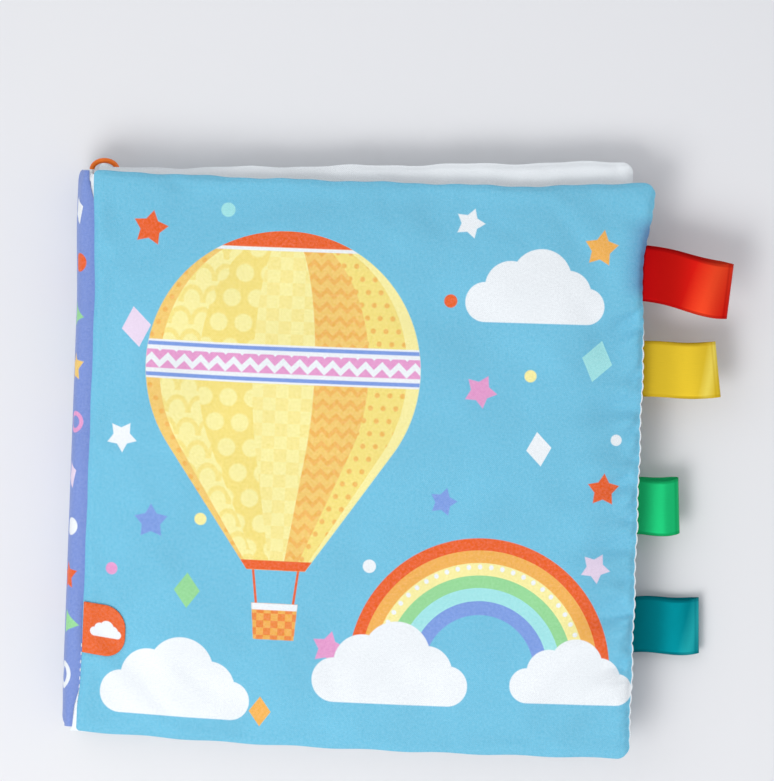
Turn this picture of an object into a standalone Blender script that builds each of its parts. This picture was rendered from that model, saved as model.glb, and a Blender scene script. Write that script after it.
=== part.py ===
# Crinkle cloth book for a baby, closed and lying on its back cover.
# Metres. +X runs from the spine to the fore-edge, +Y to the head of the pages, +Z up through them.
# The origin is the middle of the back cover's flat underside.

import math

import bmesh
import bpy
from mathutils import Vector

# Cover panels, from the spine seam to the fore-edge and from foot to head
COVER_WIDTH = 0.2010
COVER_HEIGHT = 0.2038
COVER_HALF_THICKNESS = 0.0040
COVER_CORNER_RADIUS = 0.0045
SEAM_CORNER_RADIUS = 0.0012
COVER_DRAW_IN = 0.0002
BACK_COVER_INSET = 0.0016

# The front cover's face is a little flatter than its lining, with a soft crown in the middle
FACE_LOFT = 0.0032
FACE_CROWN = 0.0008
# Its head rises towards the fore-edge and ends in an ear; its foot drops and bows out a little
HEAD_RISE = 0.0009
EAR_OUT = 0.0026
EAR_UP = 0.0026
EAR_REACH = 0.0280
EAR_HEAD_REACH = 0.0460
FOOT_DROP = 0.0022
FOOT_BOW = 0.0014
# Near the spine the whole cover sits a little higher on the page
SEAM_SIDE_RISE = 0.0006
SEAM_SIDE_REACH = 0.0600
# The red ribbon's stitches pull its stretch of the seam in
SEAM_TUG = 0.0007
SEAM_TUG_REACH = 0.0220

# The two inner leaves stop short of the covers and fan up towards the fore-edge
LEAF_WIDTH = 0.1943
LEAF_HEIGHT = 0.2050
LEAF_HALF_THICKNESS = 0.0029
LEAF_CORNER_RADIUS = 0.0042
LEAF_DRAW_IN = 0.0002
UPPER_LEAF_RISE = 0.0097
LOWER_LEAF_RISE = 0.0078
LOWER_LEAF_INSET = 0.0012
LEAF_HEAD_LIFT = 0.0008

# Layers of a sewn panel
FABRIC = 0.0003
CRINKLE_FILM = 0.0002
LAYER_GAP = 0.0003
PANEL_GAP = 0.0005
EDGE_SWELL = 0.0260

# Grid lines of a panel: shares of the swelling edge band, then equal cells between the bands
EDGE_BAND_SHARES = (0.0, 0.08, 0.24, 0.52, 1.0)
FILLING_START_SHARE = 0.24
MIDDLE_CELLS = 5

# Spine: a padded strip between the two cover seams, bulging away from the pages
SPINE_DEPTH = 0.0044
SPINE_LENGTH_INSET = 0.0004
SPINE_RISE = 0.0014
SPINE_END_TAPER = 0.0100
SPINE_END_SHARE = 0.45
SPINE_CORNER_RADIUS = 0.0040
SPINE_LINE_SHARES = (0.0, 0.08, 0.21, 0.38, 0.62, 0.79, 0.92, 1.0)
SPINE_FILLING_START_SHARE = 0.21

# Hinge lines: the stitched gutters where fabric folds
COVER_GUTTER = 0.0020
LEAF_GUTTER = 0.0016
HINGE_CLEARANCE = 0.0003
LEAF_HINGE_REACH = 0.0002

# Places of the ribbons and the label along the cover, as shares of its height from the middle
RED_RIBBON_PLACE_SHARE = 0.354
YELLOW_RIBBON_PLACE_SHARE = 0.1815
GREEN_RIBBON_PLACE_SHARE = -0.064
TEAL_RIBBON_PLACE_SHARE = -0.276
LABEL_PLACE_SHARE = -0.317

# Ribbon loops, folded in half and sewn into the fore-edge seams
RIBBON_WIDTH = 0.0202
RIBBON_LAYER = 0.0003
RIBBON_ROOT_HALF = 0.00035
RIBBON_SEAM_GAP = 0.0005
RIBBON_STATION_SHARES = (0.0, 0.14, 0.34, 0.56, 0.78)
RIBBON_FOLD_STEPS = 5
RIBBON_WIDTH_CELLS = 4
RED_RIBBON_LENGTH = 0.0310
RED_RIBBON_FOLD_HALF = 0.0012
RED_RIBBON_CENTRE = RED_RIBBON_PLACE_SHARE * COVER_HEIGHT
RED_RIBBON_SLOPE = math.radians(-10.6)
YELLOW_RIBBON_LENGTH = 0.0334
YELLOW_RIBBON_FOLD_HALF = 0.0011
YELLOW_RIBBON_CENTRE = YELLOW_RIBBON_PLACE_SHARE * COVER_HEIGHT
YELLOW_RIBBON_SLOPE = math.radians(2.6)
GREEN_RIBBON_LENGTH = 0.0224
GREEN_RIBBON_FOLD_HALF = 0.0016
GREEN_RIBBON_CENTRE = GREEN_RIBBON_PLACE_SHARE * COVER_HEIGHT
GREEN_RIBBON_SLOPE = math.radians(2.2)
TEAL_RIBBON_LENGTH = 0.0258
TEAL_RIBBON_FOLD_HALF = 0.0013
TEAL_RIBBON_CENTRE = TEAL_RIBBON_PLACE_SHARE * COVER_HEIGHT
TEAL_RIBBON_SLOPE = math.radians(1.4)
RIBBON_ARCH = 0.0006

# Side label, sewn into the front seam and lying on the cover
LABEL_LENGTH = 0.0162
LABEL_HEIGHT = 0.0186
LABEL_THICKNESS = 0.0008
LABEL_CENTRE = LABEL_PLACE_SHARE * COVER_HEIGHT
LABEL_ROUND_RADIUS = 0.0075
LABEL_LIFT = 0.0004
LABEL_SEAM_SETBACK = 0.0004
LABEL_LENGTH_CELLS = 9
LABEL_HEIGHT_CELLS = 6

# Hanging loop of flat cord, both ends sewn to the spine between the leaves
LOOP_RADIUS_ACROSS = 0.0046
LOOP_RADIUS_UP = 0.0034
LOOP_HALF_STROKE = 0.0009
LOOP_HALF_DEPTH = 0.0010
LOOP_ARC_STEPS = 18
LOOP_SIDES = 8
LOOP_TURN = math.radians(270)

# The ways in which the loop's two ends leave the spine
TOWARDS_HEAD = Vector((0.0, 1.0, 0.0))
TOWARDS_SPINE = Vector((-1.0, 0.0, 0.0))

# Faces that meet at more than this angle keep a sharp edge between them
SHARP_ANGLE = math.radians(40)

# Colours, linear RGB
SKY_BLUE = (0.24, 0.58, 0.76)
PERIWINKLE = (0.20, 0.33, 0.65)
PAGE_WHITE = (0.80, 0.82, 0.84)
BATTING_WHITE = (0.86, 0.85, 0.82)
FILM_SILVER = (0.70, 0.74, 0.78)
RED = (0.62, 0.012, 0.012)
YELLOW = (0.78, 0.55, 0.035)
GREEN = (0.018, 0.52, 0.20)
TEAL = (0.01, 0.25, 0.30)
ORANGE = (0.80, 0.18, 0.055)

# Places worked out from the sizes
SEAM_HALF = FABRIC + LAYER_GAP / 2
SEAM_X = -COVER_WIDTH / 2
COVER_HINGE_X = SEAM_X - COVER_GUTTER
BACK_Z = COVER_HALF_THICKNESS
LOWER_LEAF_Z = BACK_Z + COVER_HALF_THICKNESS + PANEL_GAP + LEAF_HALF_THICKNESS
UPPER_LEAF_Z = LOWER_LEAF_Z + PANEL_GAP + 2 * LEAF_HALF_THICKNESS
FRONT_Z = UPPER_LEAF_Z + LEAF_HALF_THICKNESS + PANEL_GAP + COVER_HALF_THICKNESS
SPINE_SEAM_THICKNESS = 2 * FABRIC + LAYER_GAP
SPINE_INNER_X = COVER_HINGE_X + SPINE_SEAM_THICKNESS / 2
LEAF_HINGE_RADIUS = math.hypot(SEAM_HALF, LEAF_HINGE_REACH)
LEAF_HINGE_X = SPINE_INNER_X + LEAF_HINGE_RADIUS + HINGE_CLEARANCE
SPINE_LOW_Z = BACK_Z + SEAM_HALF + HINGE_CLEARANCE
SPINE_HIGH_Z = FRONT_Z - SEAM_HALF - HINGE_CLEARANCE
SPINE_HALF_LENGTH = COVER_HEIGHT / 2 - SPINE_LENGTH_INSET
FILLING_START = EDGE_BAND_SHARES.index(FILLING_START_SHARE)
SPINE_FILLING_START = SPINE_LINE_SHARES.index(SPINE_FILLING_START_SHARE)
LOOP_Z = (LOWER_LEAF_Z + UPPER_LEAF_Z) / 2


def clear_scene():
    for thing in list(bpy.data.objects):
        bpy.data.objects.remove(thing, do_unlink=True)


def material(name, colour, roughness, metallic=0.0):
    """A plain Principled material with the piece's own colour."""
    made = bpy.data.materials.new(name)
    made.use_nodes = True
    shader = made.node_tree.nodes["Principled BSDF"]
    shader.inputs["Base Color"].default_value = (*colour, 1.0)
    shader.inputs["Roughness"].default_value = roughness
    shader.inputs["Metallic"].default_value = metallic
    return made


def add_piece(name, mesh_builder, pivot, finish):
    """Turns a bmesh in world coordinates into an object whose origin is on its joint's axis."""
    bmesh.ops.recalc_face_normals(mesh_builder, faces=mesh_builder.faces[:])
    bmesh.ops.translate(mesh_builder, verts=mesh_builder.verts[:], vec=-pivot)
    mesh = bpy.data.meshes.new(name)
    mesh_builder.to_mesh(mesh)
    mesh_builder.free()
    mesh.shade_smooth()
    mesh.set_sharp_from_angle(angle=SHARP_ANGLE)
    mesh.materials.append(finish)
    piece = bpy.data.objects.new(name, mesh)
    piece.location = pivot
    bpy.context.collection.objects.link(piece)
    return piece


def smooth_step(value):
    """0 below 0, 1 above 1, with a soft start and end."""
    held = min(max(value, 0.0), 1.0)
    return held * held * (3 - 2 * held)


def swell(distance, reach):
    """How full a stuffed edge is at a distance from its seam: 0 at the seam, 1 past the reach."""
    left = 1 - min(distance / reach, 1.0)
    return math.sqrt(1 - left * left)


def band_lines(length):
    """Distances of the grid lines across a panel side, dense in the two swelling bands."""
    near = [share * EDGE_SWELL for share in EDGE_BAND_SHARES]
    far = [length - line for line in reversed(near)]
    middle = length - 2 * EDGE_SWELL
    inner = [EDGE_SWELL + middle * n / MIDDLE_CELLS for n in range(1, MIDDLE_CELLS)]
    return near + inner + far


def slab(columns, low, high):
    """A closed solid from two stacked grids of points, low under high, with walls at the rim."""
    built = bmesh.new()
    rows = len(columns[0])
    lower = [[built.verts.new(low(x, y)) for x, y in column] for column in columns]
    upper = [[built.verts.new(high(x, y)) for x, y in column] for column in columns]
    for i in range(len(columns) - 1):
        for j in range(rows - 1):
            for grid in (lower, upper):
                built.faces.new((grid[i][j], grid[i + 1][j], grid[i + 1][j + 1]))
                built.faces.new((grid[i][j], grid[i + 1][j + 1], grid[i][j + 1]))
    rim = [(i, 0) for i in range(len(columns))]
    rim += [(len(columns) - 1, j) for j in range(1, rows)]
    rim += [(i, rows - 1) for i in range(len(columns) - 2, -1, -1)]
    rim += [(0, j) for j in range(rows - 2, 0, -1)]
    for (i, j), (k, m) in zip(rim, rim[1:] + rim[:1]):
        built.faces.new((lower[i][j], lower[k][m], upper[k][m], upper[i][j]))
    return built


class Panel:
    """One stuffed panel of the book: a cover or a leaf, with its outline and its two loft heights."""

    def __init__(self, left, width, height, z, up, down, gutter, radius, draw_in):
        self.left = left
        self.width = width
        self.height = height
        self.z = z
        self.up = up
        self.down = down
        self.gutter = gutter
        self.radius = radius
        self.draw_in = draw_in
        self.crown = 0.0
        self.head_rise = 0.0
        self.ear_out = 0.0
        self.ear_up = 0.0
        self.foot_drop = 0.0
        self.foot_bow = 0.0
        self.seam_side_rise = 0.0
        self.tug = 0.0
        self.rise = 0.0
        self.lift = 0.0

    def rounded(self, across, along):
        """Pulls a point near a corner of the plain rectangle onto the corner's arc."""
        radius = SEAM_CORNER_RADIUS if across < self.width / 2 else self.radius
        from_side = min(across, self.width - across)
        from_end = min(along, self.height - along)
        if from_side >= radius or from_end >= radius:
            return across, along
        side = radius - from_side
        end = radius - from_end
        reach = math.hypot(side, end)
        if reach <= radius:
            return across, along
        side = radius - side * radius / reach
        end = radius - end * radius / reach
        across = side if across < self.width / 2 else self.width - side
        along = end if along < self.height / 2 else self.height - end
        return across, along

    def place(self, across, along):
        """World X and Y of a point that is given by its distances from the seam and the foot."""
        u = max(across, 0.0) / self.width
        v = along / self.height
        near_head = smooth_step(1 - (self.height - along) / EAR_REACH)
        ear_out = self.ear_out * near_head * smooth_step(1 - (self.width - across) / EAR_REACH)
        ear_up = self.ear_up * near_head * smooth_step(1 - (self.width - across) / EAR_HEAD_REACH)
        near_ribbon = abs(along - RED_RIBBON_CENTRE - self.height / 2)
        pulled = smooth_step((SEAM_TUG_REACH - near_ribbon) / (SEAM_TUG_REACH - RIBBON_WIDTH / 2))
        pulled *= smooth_step(1 - (self.width - across) / SEAM_TUG_REACH)
        x = self.left + across - self.draw_in * math.sin(math.pi * v) * u
        x += ear_out - self.tug * pulled
        bow = math.sin(math.pi * u)
        y = along - self.height / 2 - self.draw_in * bow * (2 * v - 1)
        y += ear_up + self.rise * u + self.lift + self.head_rise * u * v
        y -= (self.foot_drop * u + self.foot_bow * bow) * (1 - v)
        y += self.seam_side_rise * smooth_step(1 - across / SEAM_SIDE_REACH)
        return x, y

    def fullness(self, across, along):
        """0 on every seam and 1 where the panel has its full loft."""
        across = max(across, 0.0)
        side = swell(min(across, self.width - across), EDGE_SWELL)
        end = swell(min(along, self.height - along), EDGE_SWELL)
        return side * end

    def top(self, across, along):
        full = self.fullness(across, along)
        bow = math.sin(math.pi * max(across, 0.0) / self.width) * math.sin(math.pi * along / self.height)
        return self.z + SEAM_HALF + (self.up - SEAM_HALF) * full + self.crown * bow * full

    def bottom(self, across, along):
        return self.z - SEAM_HALF - (self.down - SEAM_HALF) * self.fullness(across, along)

    def grid(self, skipped=0, with_gutter=True):
        """Rows of distances from the seam and the foot, with a number of edge cells left out."""
        across = band_lines(self.width)
        along = band_lines(self.height)
        across = across[skipped : len(across) - skipped]
        along = along[skipped : len(along) - skipped]
        columns = [[self.rounded(a, b) for b in along] for a in across]
        if with_gutter:
            columns.insert(0, [(-self.gutter, b) for _, b in columns[0]])
        return columns

    def layer(self, columns, low, high):
        """A slab between two height functions over this panel's outline."""
        return slab(
            columns,
            lambda a, b: (*self.place(a, b), low(a, b)),
            lambda a, b: (*self.place(a, b), high(a, b)),
        )

    def face_fabric(self):
        return self.layer(self.grid(), lambda a, b: self.top(a, b) - FABRIC, self.top)

    def reverse_fabric(self):
        return self.layer(self.grid(), self.bottom, lambda a, b: self.bottom(a, b) + FABRIC)

    def film(self):
        start = FABRIC + LAYER_GAP
        columns = self.grid(FILLING_START, with_gutter=False)
        return self.layer(
            columns,
            lambda a, b: self.bottom(a, b) + start,
            lambda a, b: self.bottom(a, b) + start + CRINKLE_FILM,
        )

    def batting(self):
        under = FABRIC + 2 * LAYER_GAP + CRINKLE_FILM
        columns = self.grid(FILLING_START, with_gutter=False)
        return self.layer(
            columns,
            lambda a, b: self.bottom(a, b) + under,
            lambda a, b: self.top(a, b) - FABRIC - LAYER_GAP,
        )

    def fore_edge(self, y_low, y_high):
        """The furthest X that the fore-edge seam reaches between two heights on the page."""
        steps = len(band_lines(self.height))
        reach = []
        for n in range(steps + 1):
            along = y_low + (y_high - y_low) * n / steps - self.rise - self.lift + self.height / 2
            reach.append(self.place(self.width, along)[0])
        return max(reach)


def front_cover():
    panel = Panel(
        SEAM_X, COVER_WIDTH, COVER_HEIGHT, FRONT_Z, FACE_LOFT, COVER_HALF_THICKNESS,
        COVER_GUTTER, COVER_CORNER_RADIUS, COVER_DRAW_IN,
    )
    panel.crown = FACE_CROWN
    panel.head_rise = HEAD_RISE
    panel.ear_out = EAR_OUT
    panel.ear_up = EAR_UP
    panel.foot_drop = FOOT_DROP
    panel.foot_bow = FOOT_BOW
    panel.seam_side_rise = SEAM_SIDE_RISE
    panel.tug = SEAM_TUG
    return panel


def back_cover():
    return Panel(
        SEAM_X, COVER_WIDTH - BACK_COVER_INSET, COVER_HEIGHT - BACK_COVER_INSET, BACK_Z,
        COVER_HALF_THICKNESS, COVER_HALF_THICKNESS, COVER_GUTTER, COVER_CORNER_RADIUS, COVER_DRAW_IN,
    )


def leaf(z, rise, inset):
    left = LEAF_HINGE_X + LEAF_GUTTER - LEAF_HINGE_REACH
    panel = Panel(
        left, LEAF_WIDTH - inset, LEAF_HEIGHT - inset, z,
        LEAF_HALF_THICKNESS, LEAF_HALF_THICKNESS, LEAF_GUTTER, LEAF_CORNER_RADIUS, LEAF_DRAW_IN,
    )
    panel.rise = rise
    panel.lift = LEAF_HEAD_LIFT
    return panel


def add_panel(prefix, names, panel, pivot, finishes):
    """The four sewn layers of one panel, all turning about the same hinge line."""
    makers = (panel.face_fabric, panel.reverse_fabric, panel.batting, panel.film)
    for name, make, finish in zip(names, makers, finishes):
        add_piece(f"{prefix}_{name}", make(), pivot, finish)


def spine_depth(up, along):
    """Thickness of the spine strip at shares of its height between the seams and a distance along."""
    across = math.sqrt(max(1 - (2 * up - 1) ** 2, 0.0))
    from_end = min(along, 2 * SPINE_HALF_LENGTH - along)
    end = SPINE_END_SHARE + (1 - SPINE_END_SHARE) * swell(from_end, SPINE_END_TAPER)
    return SPINE_SEAM_THICKNESS + (SPINE_DEPTH - SPINE_SEAM_THICKNESS) * across * end


def spine_grid(skipped):
    """Points on the spine: share of its height, and distance from its foot, with rounded ends."""
    shares = SPINE_LINE_SHARES[skipped : len(SPINE_LINE_SHARES) - skipped]
    along = band_lines(2 * SPINE_HALF_LENGTH)
    along = along[skipped : len(along) - skipped]
    height = SPINE_HIGH_Z - SPINE_LOW_Z
    columns = []
    for share in shares:
        from_seam = min(share, 1 - share) * height
        cut = max(SPINE_CORNER_RADIUS - from_seam, 0.0)
        trim = SPINE_CORNER_RADIUS - math.sqrt(SPINE_CORNER_RADIUS**2 - cut**2)
        span = 2 * SPINE_HALF_LENGTH
        columns.append([(share, min(max(line, trim), span - trim)) for line in along])
    return columns


def spine_layer(skipped, near, far):
    """A layer of the spine between two distances from its inner face, given as functions."""
    height = SPINE_HIGH_Z - SPINE_LOW_Z

    def point(share, along, depth):
        y = along - SPINE_HALF_LENGTH + SPINE_RISE
        return (SPINE_INNER_X - depth, y, SPINE_LOW_Z + share * height)

    return slab(
        spine_grid(skipped),
        lambda share, along: point(share, along, near(share, along)),
        lambda share, along: point(share, along, far(share, along)),
    )


def add_spine(pivot, outside, lining, filling):
    outer = spine_layer(0, lambda s, a: spine_depth(s, a) - FABRIC, spine_depth)
    inner = spine_layer(0, lambda s, a: 0.0, lambda s, a: FABRIC)
    middle = spine_layer(
        SPINE_FILLING_START,
        lambda s, a: FABRIC + LAYER_GAP,
        lambda s, a: spine_depth(s, a) - FABRIC - LAYER_GAP,
    )
    add_piece("spine_outer_fabric", outer, pivot, outside)
    add_piece("spine_lining", inner, pivot, lining)
    add_piece("spine_padding", middle, pivot, filling)


def ribbon_profile(length, fold_half):
    """Outer and inner outlines of a folded ribbon, as distances along it and heights."""
    straight = length - fold_half
    outer = []
    inner = []
    for share in RIBBON_STATION_SHARES:
        half = RIBBON_ROOT_HALF + (fold_half - RIBBON_ROOT_HALF) * smooth_step(share)
        outer.append((straight * share, half))
        inner.append((straight * max(share, RIBBON_STATION_SHARES[1] / 2), half - RIBBON_LAYER))
    for n in range(RIBBON_FOLD_STEPS + 1):
        angle = math.pi / 2 * (1 - n / RIBBON_FOLD_STEPS)
        reach = (math.cos(angle), math.sin(angle))
        outer.append((straight + fold_half * reach[0], fold_half * reach[1]))
        thin = fold_half - RIBBON_LAYER
        inner.append((straight + thin * reach[0], thin * reach[1]))
    outer += [(s, -h) for s, h in reversed(outer[:-1])]
    inner += [(s, -h) for s, h in reversed(inner[:-1])]
    return outer, inner


def add_ribbon(name, panel, centre, length, fold_half, slope, pivot_x, finish):
    """A ribbon loop whose root lies along the panel's fore-edge seam and whose fold is square."""
    outer, inner = ribbon_profile(length, fold_half)
    along = Vector((math.cos(slope), math.sin(slope), 0.0))
    side = Vector((-math.sin(slope), math.cos(slope), 0.0))
    tip = Vector((pivot_x, centre, panel.z)) + along * length
    built = bmesh.new()
    rings = []
    for n in range(RIBBON_WIDTH_CELLS + 1):
        offset = (n / RIBBON_WIDTH_CELLS - 0.5) * RIBBON_WIDTH
        end = tip + side * offset
        reach = (end.x - pivot_x) / along.x
        ring = []
        for outline in (outer, inner):
            points = []
            for s, h in outline:
                share = s / length
                bow = RIBBON_ARCH * math.sin(math.pi * share)
                spot = end - along * (reach * (1 - share)) + Vector((0.0, 0.0, h + bow))
                points.append(built.verts.new(spot))
            ring.append(points)
        rings.append(ring)
    count = len(outer)
    for a, b in zip(rings, rings[1:]):
        for ring_a, ring_b in zip(a, b):
            for k in range(count):
                m = (k + 1) % count
                built.faces.new((ring_a[k], ring_a[m], ring_b[m], ring_b[k]))
    for ring in (rings[0], rings[-1]):
        for k in range(count):
            m = (k + 1) % count
            built.faces.new((ring[0][k], ring[0][m], ring[1][m], ring[1][k]))
    return add_piece(name, built, Vector((pivot_x, centre, panel.z)), finish)


def label_outline(across, up):
    """A point of the D-shaped label, from shares of its length and of its height."""
    x = across * LABEL_LENGTH
    half = LABEL_HEIGHT / 2
    from_tip = LABEL_LENGTH - x
    if from_tip < LABEL_ROUND_RADIUS:
        cut = LABEL_ROUND_RADIUS - from_tip
        half -= LABEL_ROUND_RADIUS - math.sqrt(max(LABEL_ROUND_RADIUS**2 - cut**2, 0.0))
    return x, (2 * up - 1) * half


def add_label(cover, finish):
    """The label is a thin slab that follows the cover's face and starts at the seam."""
    start = LABEL_SEAM_SETBACK
    columns = []
    for i in range(LABEL_LENGTH_CELLS + 1):
        share = math.sin(math.pi / 2 * i / LABEL_LENGTH_CELLS)
        row = []
        for j in range(LABEL_HEIGHT_CELLS + 1):
            x, y = label_outline(share, j / LABEL_HEIGHT_CELLS)
            row.append((start + x, LABEL_CENTRE + y + COVER_HEIGHT / 2))
        columns.append(row)

    def low(across, along):
        return (*cover.place(across, along), cover.top(across, along) + LABEL_LIFT)

    def high(across, along):
        return (*cover.place(across, along), cover.top(across, along) + LABEL_LIFT + LABEL_THICKNESS)

    pivot = Vector((SEAM_X + start, LABEL_CENTRE, FRONT_Z + SEAM_HALF + LABEL_LIFT))
    add_piece("side_label", slab(columns, low, high), pivot, finish)


def loop_path():
    """Centre line of the hanging loop: up from the spine's head, round, and back to its lining."""
    centre_x = COVER_HINGE_X + LOOP_RADIUS_ACROSS
    centre_y = SPINE_HALF_LENGTH + SPINE_RISE + LAYER_GAP
    points = []
    for n in range(LOOP_ARC_STEPS + 1):
        angle = math.pi - LOOP_TURN * n / LOOP_ARC_STEPS
        x = centre_x + LOOP_RADIUS_ACROSS * math.cos(angle)
        points.append(Vector((x, centre_y + LOOP_RADIUS_UP * math.sin(angle), LOOP_Z)))
    points.append(Vector((SPINE_INNER_X + LAYER_GAP, centre_y - LOOP_RADIUS_UP, LOOP_Z)))
    return points


def add_loop(pivot, finish):
    """A flat cord swept along its path, with a closed cap at each sewn end."""
    path = loop_path()
    built = bmesh.new()
    rings = []
    for n, point in enumerate(path):
        ahead = path[min(n + 1, len(path) - 1)] - path[max(n - 1, 0)]
        if n == 0:
            ahead = TOWARDS_HEAD.copy()
        if n == len(path) - 1:
            ahead = TOWARDS_SPINE.copy()
        ahead.normalize()
        side = ahead.cross(Vector((0.0, 0.0, 1.0)))
        ring = []
        for k in range(LOOP_SIDES):
            angle = 2 * math.pi * (k + 0.5) / LOOP_SIDES
            spot = point + side * (LOOP_HALF_STROKE * math.cos(angle))
            spot.z += LOOP_HALF_DEPTH * math.sin(angle)
            ring.append(built.verts.new(spot))
        rings.append(ring)
    for a, b in zip(rings, rings[1:]):
        for k in range(LOOP_SIDES):
            m = (k + 1) % LOOP_SIDES
            built.faces.new((a[k], a[m], b[m], b[k]))
    built.faces.new(rings[0])
    built.faces.new(rings[-1])
    add_piece("hanging_loop", built, pivot, finish)


def main():
    clear_scene()
    blue = material("cover_fabric", SKY_BLUE, 0.75)
    spine_cloth = material("spine_fabric", PERIWINKLE, 0.75)
    white = material("page_fabric", PAGE_WHITE, 0.8)
    batting = material("batting", BATTING_WHITE, 0.95)
    film = material("crinkle_film", FILM_SILVER, 0.25)
    orange = material("orange_tape", ORANGE, 0.6)

    cover_layers = ("face_fabric", "lining_fabric", "batting", "crinkle_film")
    back_layers = ("lining_fabric", "face_fabric", "batting", "crinkle_film")
    leaf_layers = ("front_fabric", "back_fabric", "batting", "crinkle_film")
    front = front_cover()
    back = back_cover()
    upper = leaf(UPPER_LEAF_Z, UPPER_LEAF_RISE, 0.0)
    lower = leaf(LOWER_LEAF_Z, LOWER_LEAF_RISE, LOWER_LEAF_INSET)

    front_hinge = Vector((COVER_HINGE_X, 0.0, FRONT_Z))
    back_hinge = Vector((COVER_HINGE_X, 0.0, BACK_Z))
    upper_hinge = Vector((LEAF_HINGE_X, 0.0, UPPER_LEAF_Z))
    lower_hinge = Vector((LEAF_HINGE_X, 0.0, LOWER_LEAF_Z))
    add_panel("front_cover", cover_layers, front, front_hinge, (blue, white, batting, film))
    add_panel("back_cover", back_layers, back, Vector(), (white, blue, batting, film))
    add_panel("upper_leaf", leaf_layers, upper, upper_hinge, (white, white, batting, film))
    add_panel("lower_leaf", leaf_layers, lower, lower_hinge, (white, white, batting, film))
    add_spine(back_hinge, spine_cloth, white, batting)
    add_loop(back_hinge, orange)
    add_label(front, orange)

    ribbons = (
        ("red_ribbon", front, RED_RIBBON_CENTRE, RED_RIBBON_LENGTH, RED_RIBBON_FOLD_HALF,
         RED_RIBBON_SLOPE, RED),
        ("yellow_ribbon", upper, YELLOW_RIBBON_CENTRE, YELLOW_RIBBON_LENGTH, YELLOW_RIBBON_FOLD_HALF,
         YELLOW_RIBBON_SLOPE, YELLOW),
        ("green_ribbon", lower, GREEN_RIBBON_CENTRE, GREEN_RIBBON_LENGTH, GREEN_RIBBON_FOLD_HALF,
         GREEN_RIBBON_SLOPE, GREEN),
        ("teal_ribbon", back, TEAL_RIBBON_CENTRE, TEAL_RIBBON_LENGTH, TEAL_RIBBON_FOLD_HALF,
         TEAL_RIBBON_SLOPE, TEAL),
    )
    for name, panel, centre, length, fold_half, slope, colour in ribbons:
        edge = panel.fore_edge(centre - RIBBON_WIDTH / 2, centre + RIBBON_WIDTH / 2)
        satin = material(f"{name}_satin", colour, 0.35)
        add_ribbon(name, panel, centre, length, fold_half, slope, edge + RIBBON_SEAM_GAP, satin)


main()
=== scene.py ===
# %% [markdown]
# # A crinkle cloth book
# The real object is a baby's book of two stuffed covers and two stuffed leaves, sewn to a padded
# spine, with ribbon loops caught in its fore-edge seams. The plain solids are already packed in a
# frame, with their joints. This lesson dresses each body of that frame in cloth.

# %% Load the frame
import math

import bmesh
import bpy
import numpy as np
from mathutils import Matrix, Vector


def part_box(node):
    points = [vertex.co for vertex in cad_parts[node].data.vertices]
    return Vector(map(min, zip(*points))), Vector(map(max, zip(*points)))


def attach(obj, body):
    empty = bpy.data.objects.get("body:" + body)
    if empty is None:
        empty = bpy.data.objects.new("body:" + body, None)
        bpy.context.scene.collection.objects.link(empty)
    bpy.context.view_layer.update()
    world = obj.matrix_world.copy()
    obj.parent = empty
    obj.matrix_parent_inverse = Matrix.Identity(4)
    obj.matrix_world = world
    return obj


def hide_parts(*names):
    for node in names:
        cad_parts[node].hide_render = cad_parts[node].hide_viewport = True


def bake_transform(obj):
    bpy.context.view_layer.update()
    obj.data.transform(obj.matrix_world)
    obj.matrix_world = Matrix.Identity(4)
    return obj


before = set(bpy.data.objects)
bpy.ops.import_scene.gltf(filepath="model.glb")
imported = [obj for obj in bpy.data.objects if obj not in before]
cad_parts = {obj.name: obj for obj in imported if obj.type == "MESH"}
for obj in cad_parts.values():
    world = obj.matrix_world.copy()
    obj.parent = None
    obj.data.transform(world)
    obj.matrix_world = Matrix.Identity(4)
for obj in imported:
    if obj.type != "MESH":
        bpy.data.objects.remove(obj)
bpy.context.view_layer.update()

# %% [markdown]
# ## Colours and node recipes
# Cloth prints are flat shapes of ink. They could be painted pictures, but shapes that are worked out
# by formulas stay sharp at any distance. A formula becomes a chain of Math nodes. The small class
# below lets such a chain be written as plain arithmetic.

# %% Colours as a colour picker gives them
def ink(red, green, blue):
    """Linear colour from 0-255 numbers."""
    shares = [value / 255 for value in (red, green, blue)]
    linear = [s / 12.92 if s <= 0.04045 else ((s + 0.055) / 1.055) ** 2.4 for s in shares]
    return (*linear, 1.0)


SKY = ink(115, 191, 219)
WHITE = ink(236, 240, 242)
PALE_YELLOW = ink(245, 235, 160)
WARM_YELLOW = ink(241, 221, 126)
SOFT_ORANGE = ink(240, 200, 112)
LIGHT_ORANGE = ink(238, 176, 88)
CORAL = ink(232, 100, 50)
PINK = ink(228, 156, 202)
LILAC = ink(230, 212, 232)
VIOLET = ink(126, 156, 220)
MINT = ink(162, 226, 226)
LEAF_GREEN = ink(150, 214, 150)
PERIWINKLE = ink(124, 146, 208)
print("sky ink:", [round(c, 3) for c in SKY])


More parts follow.
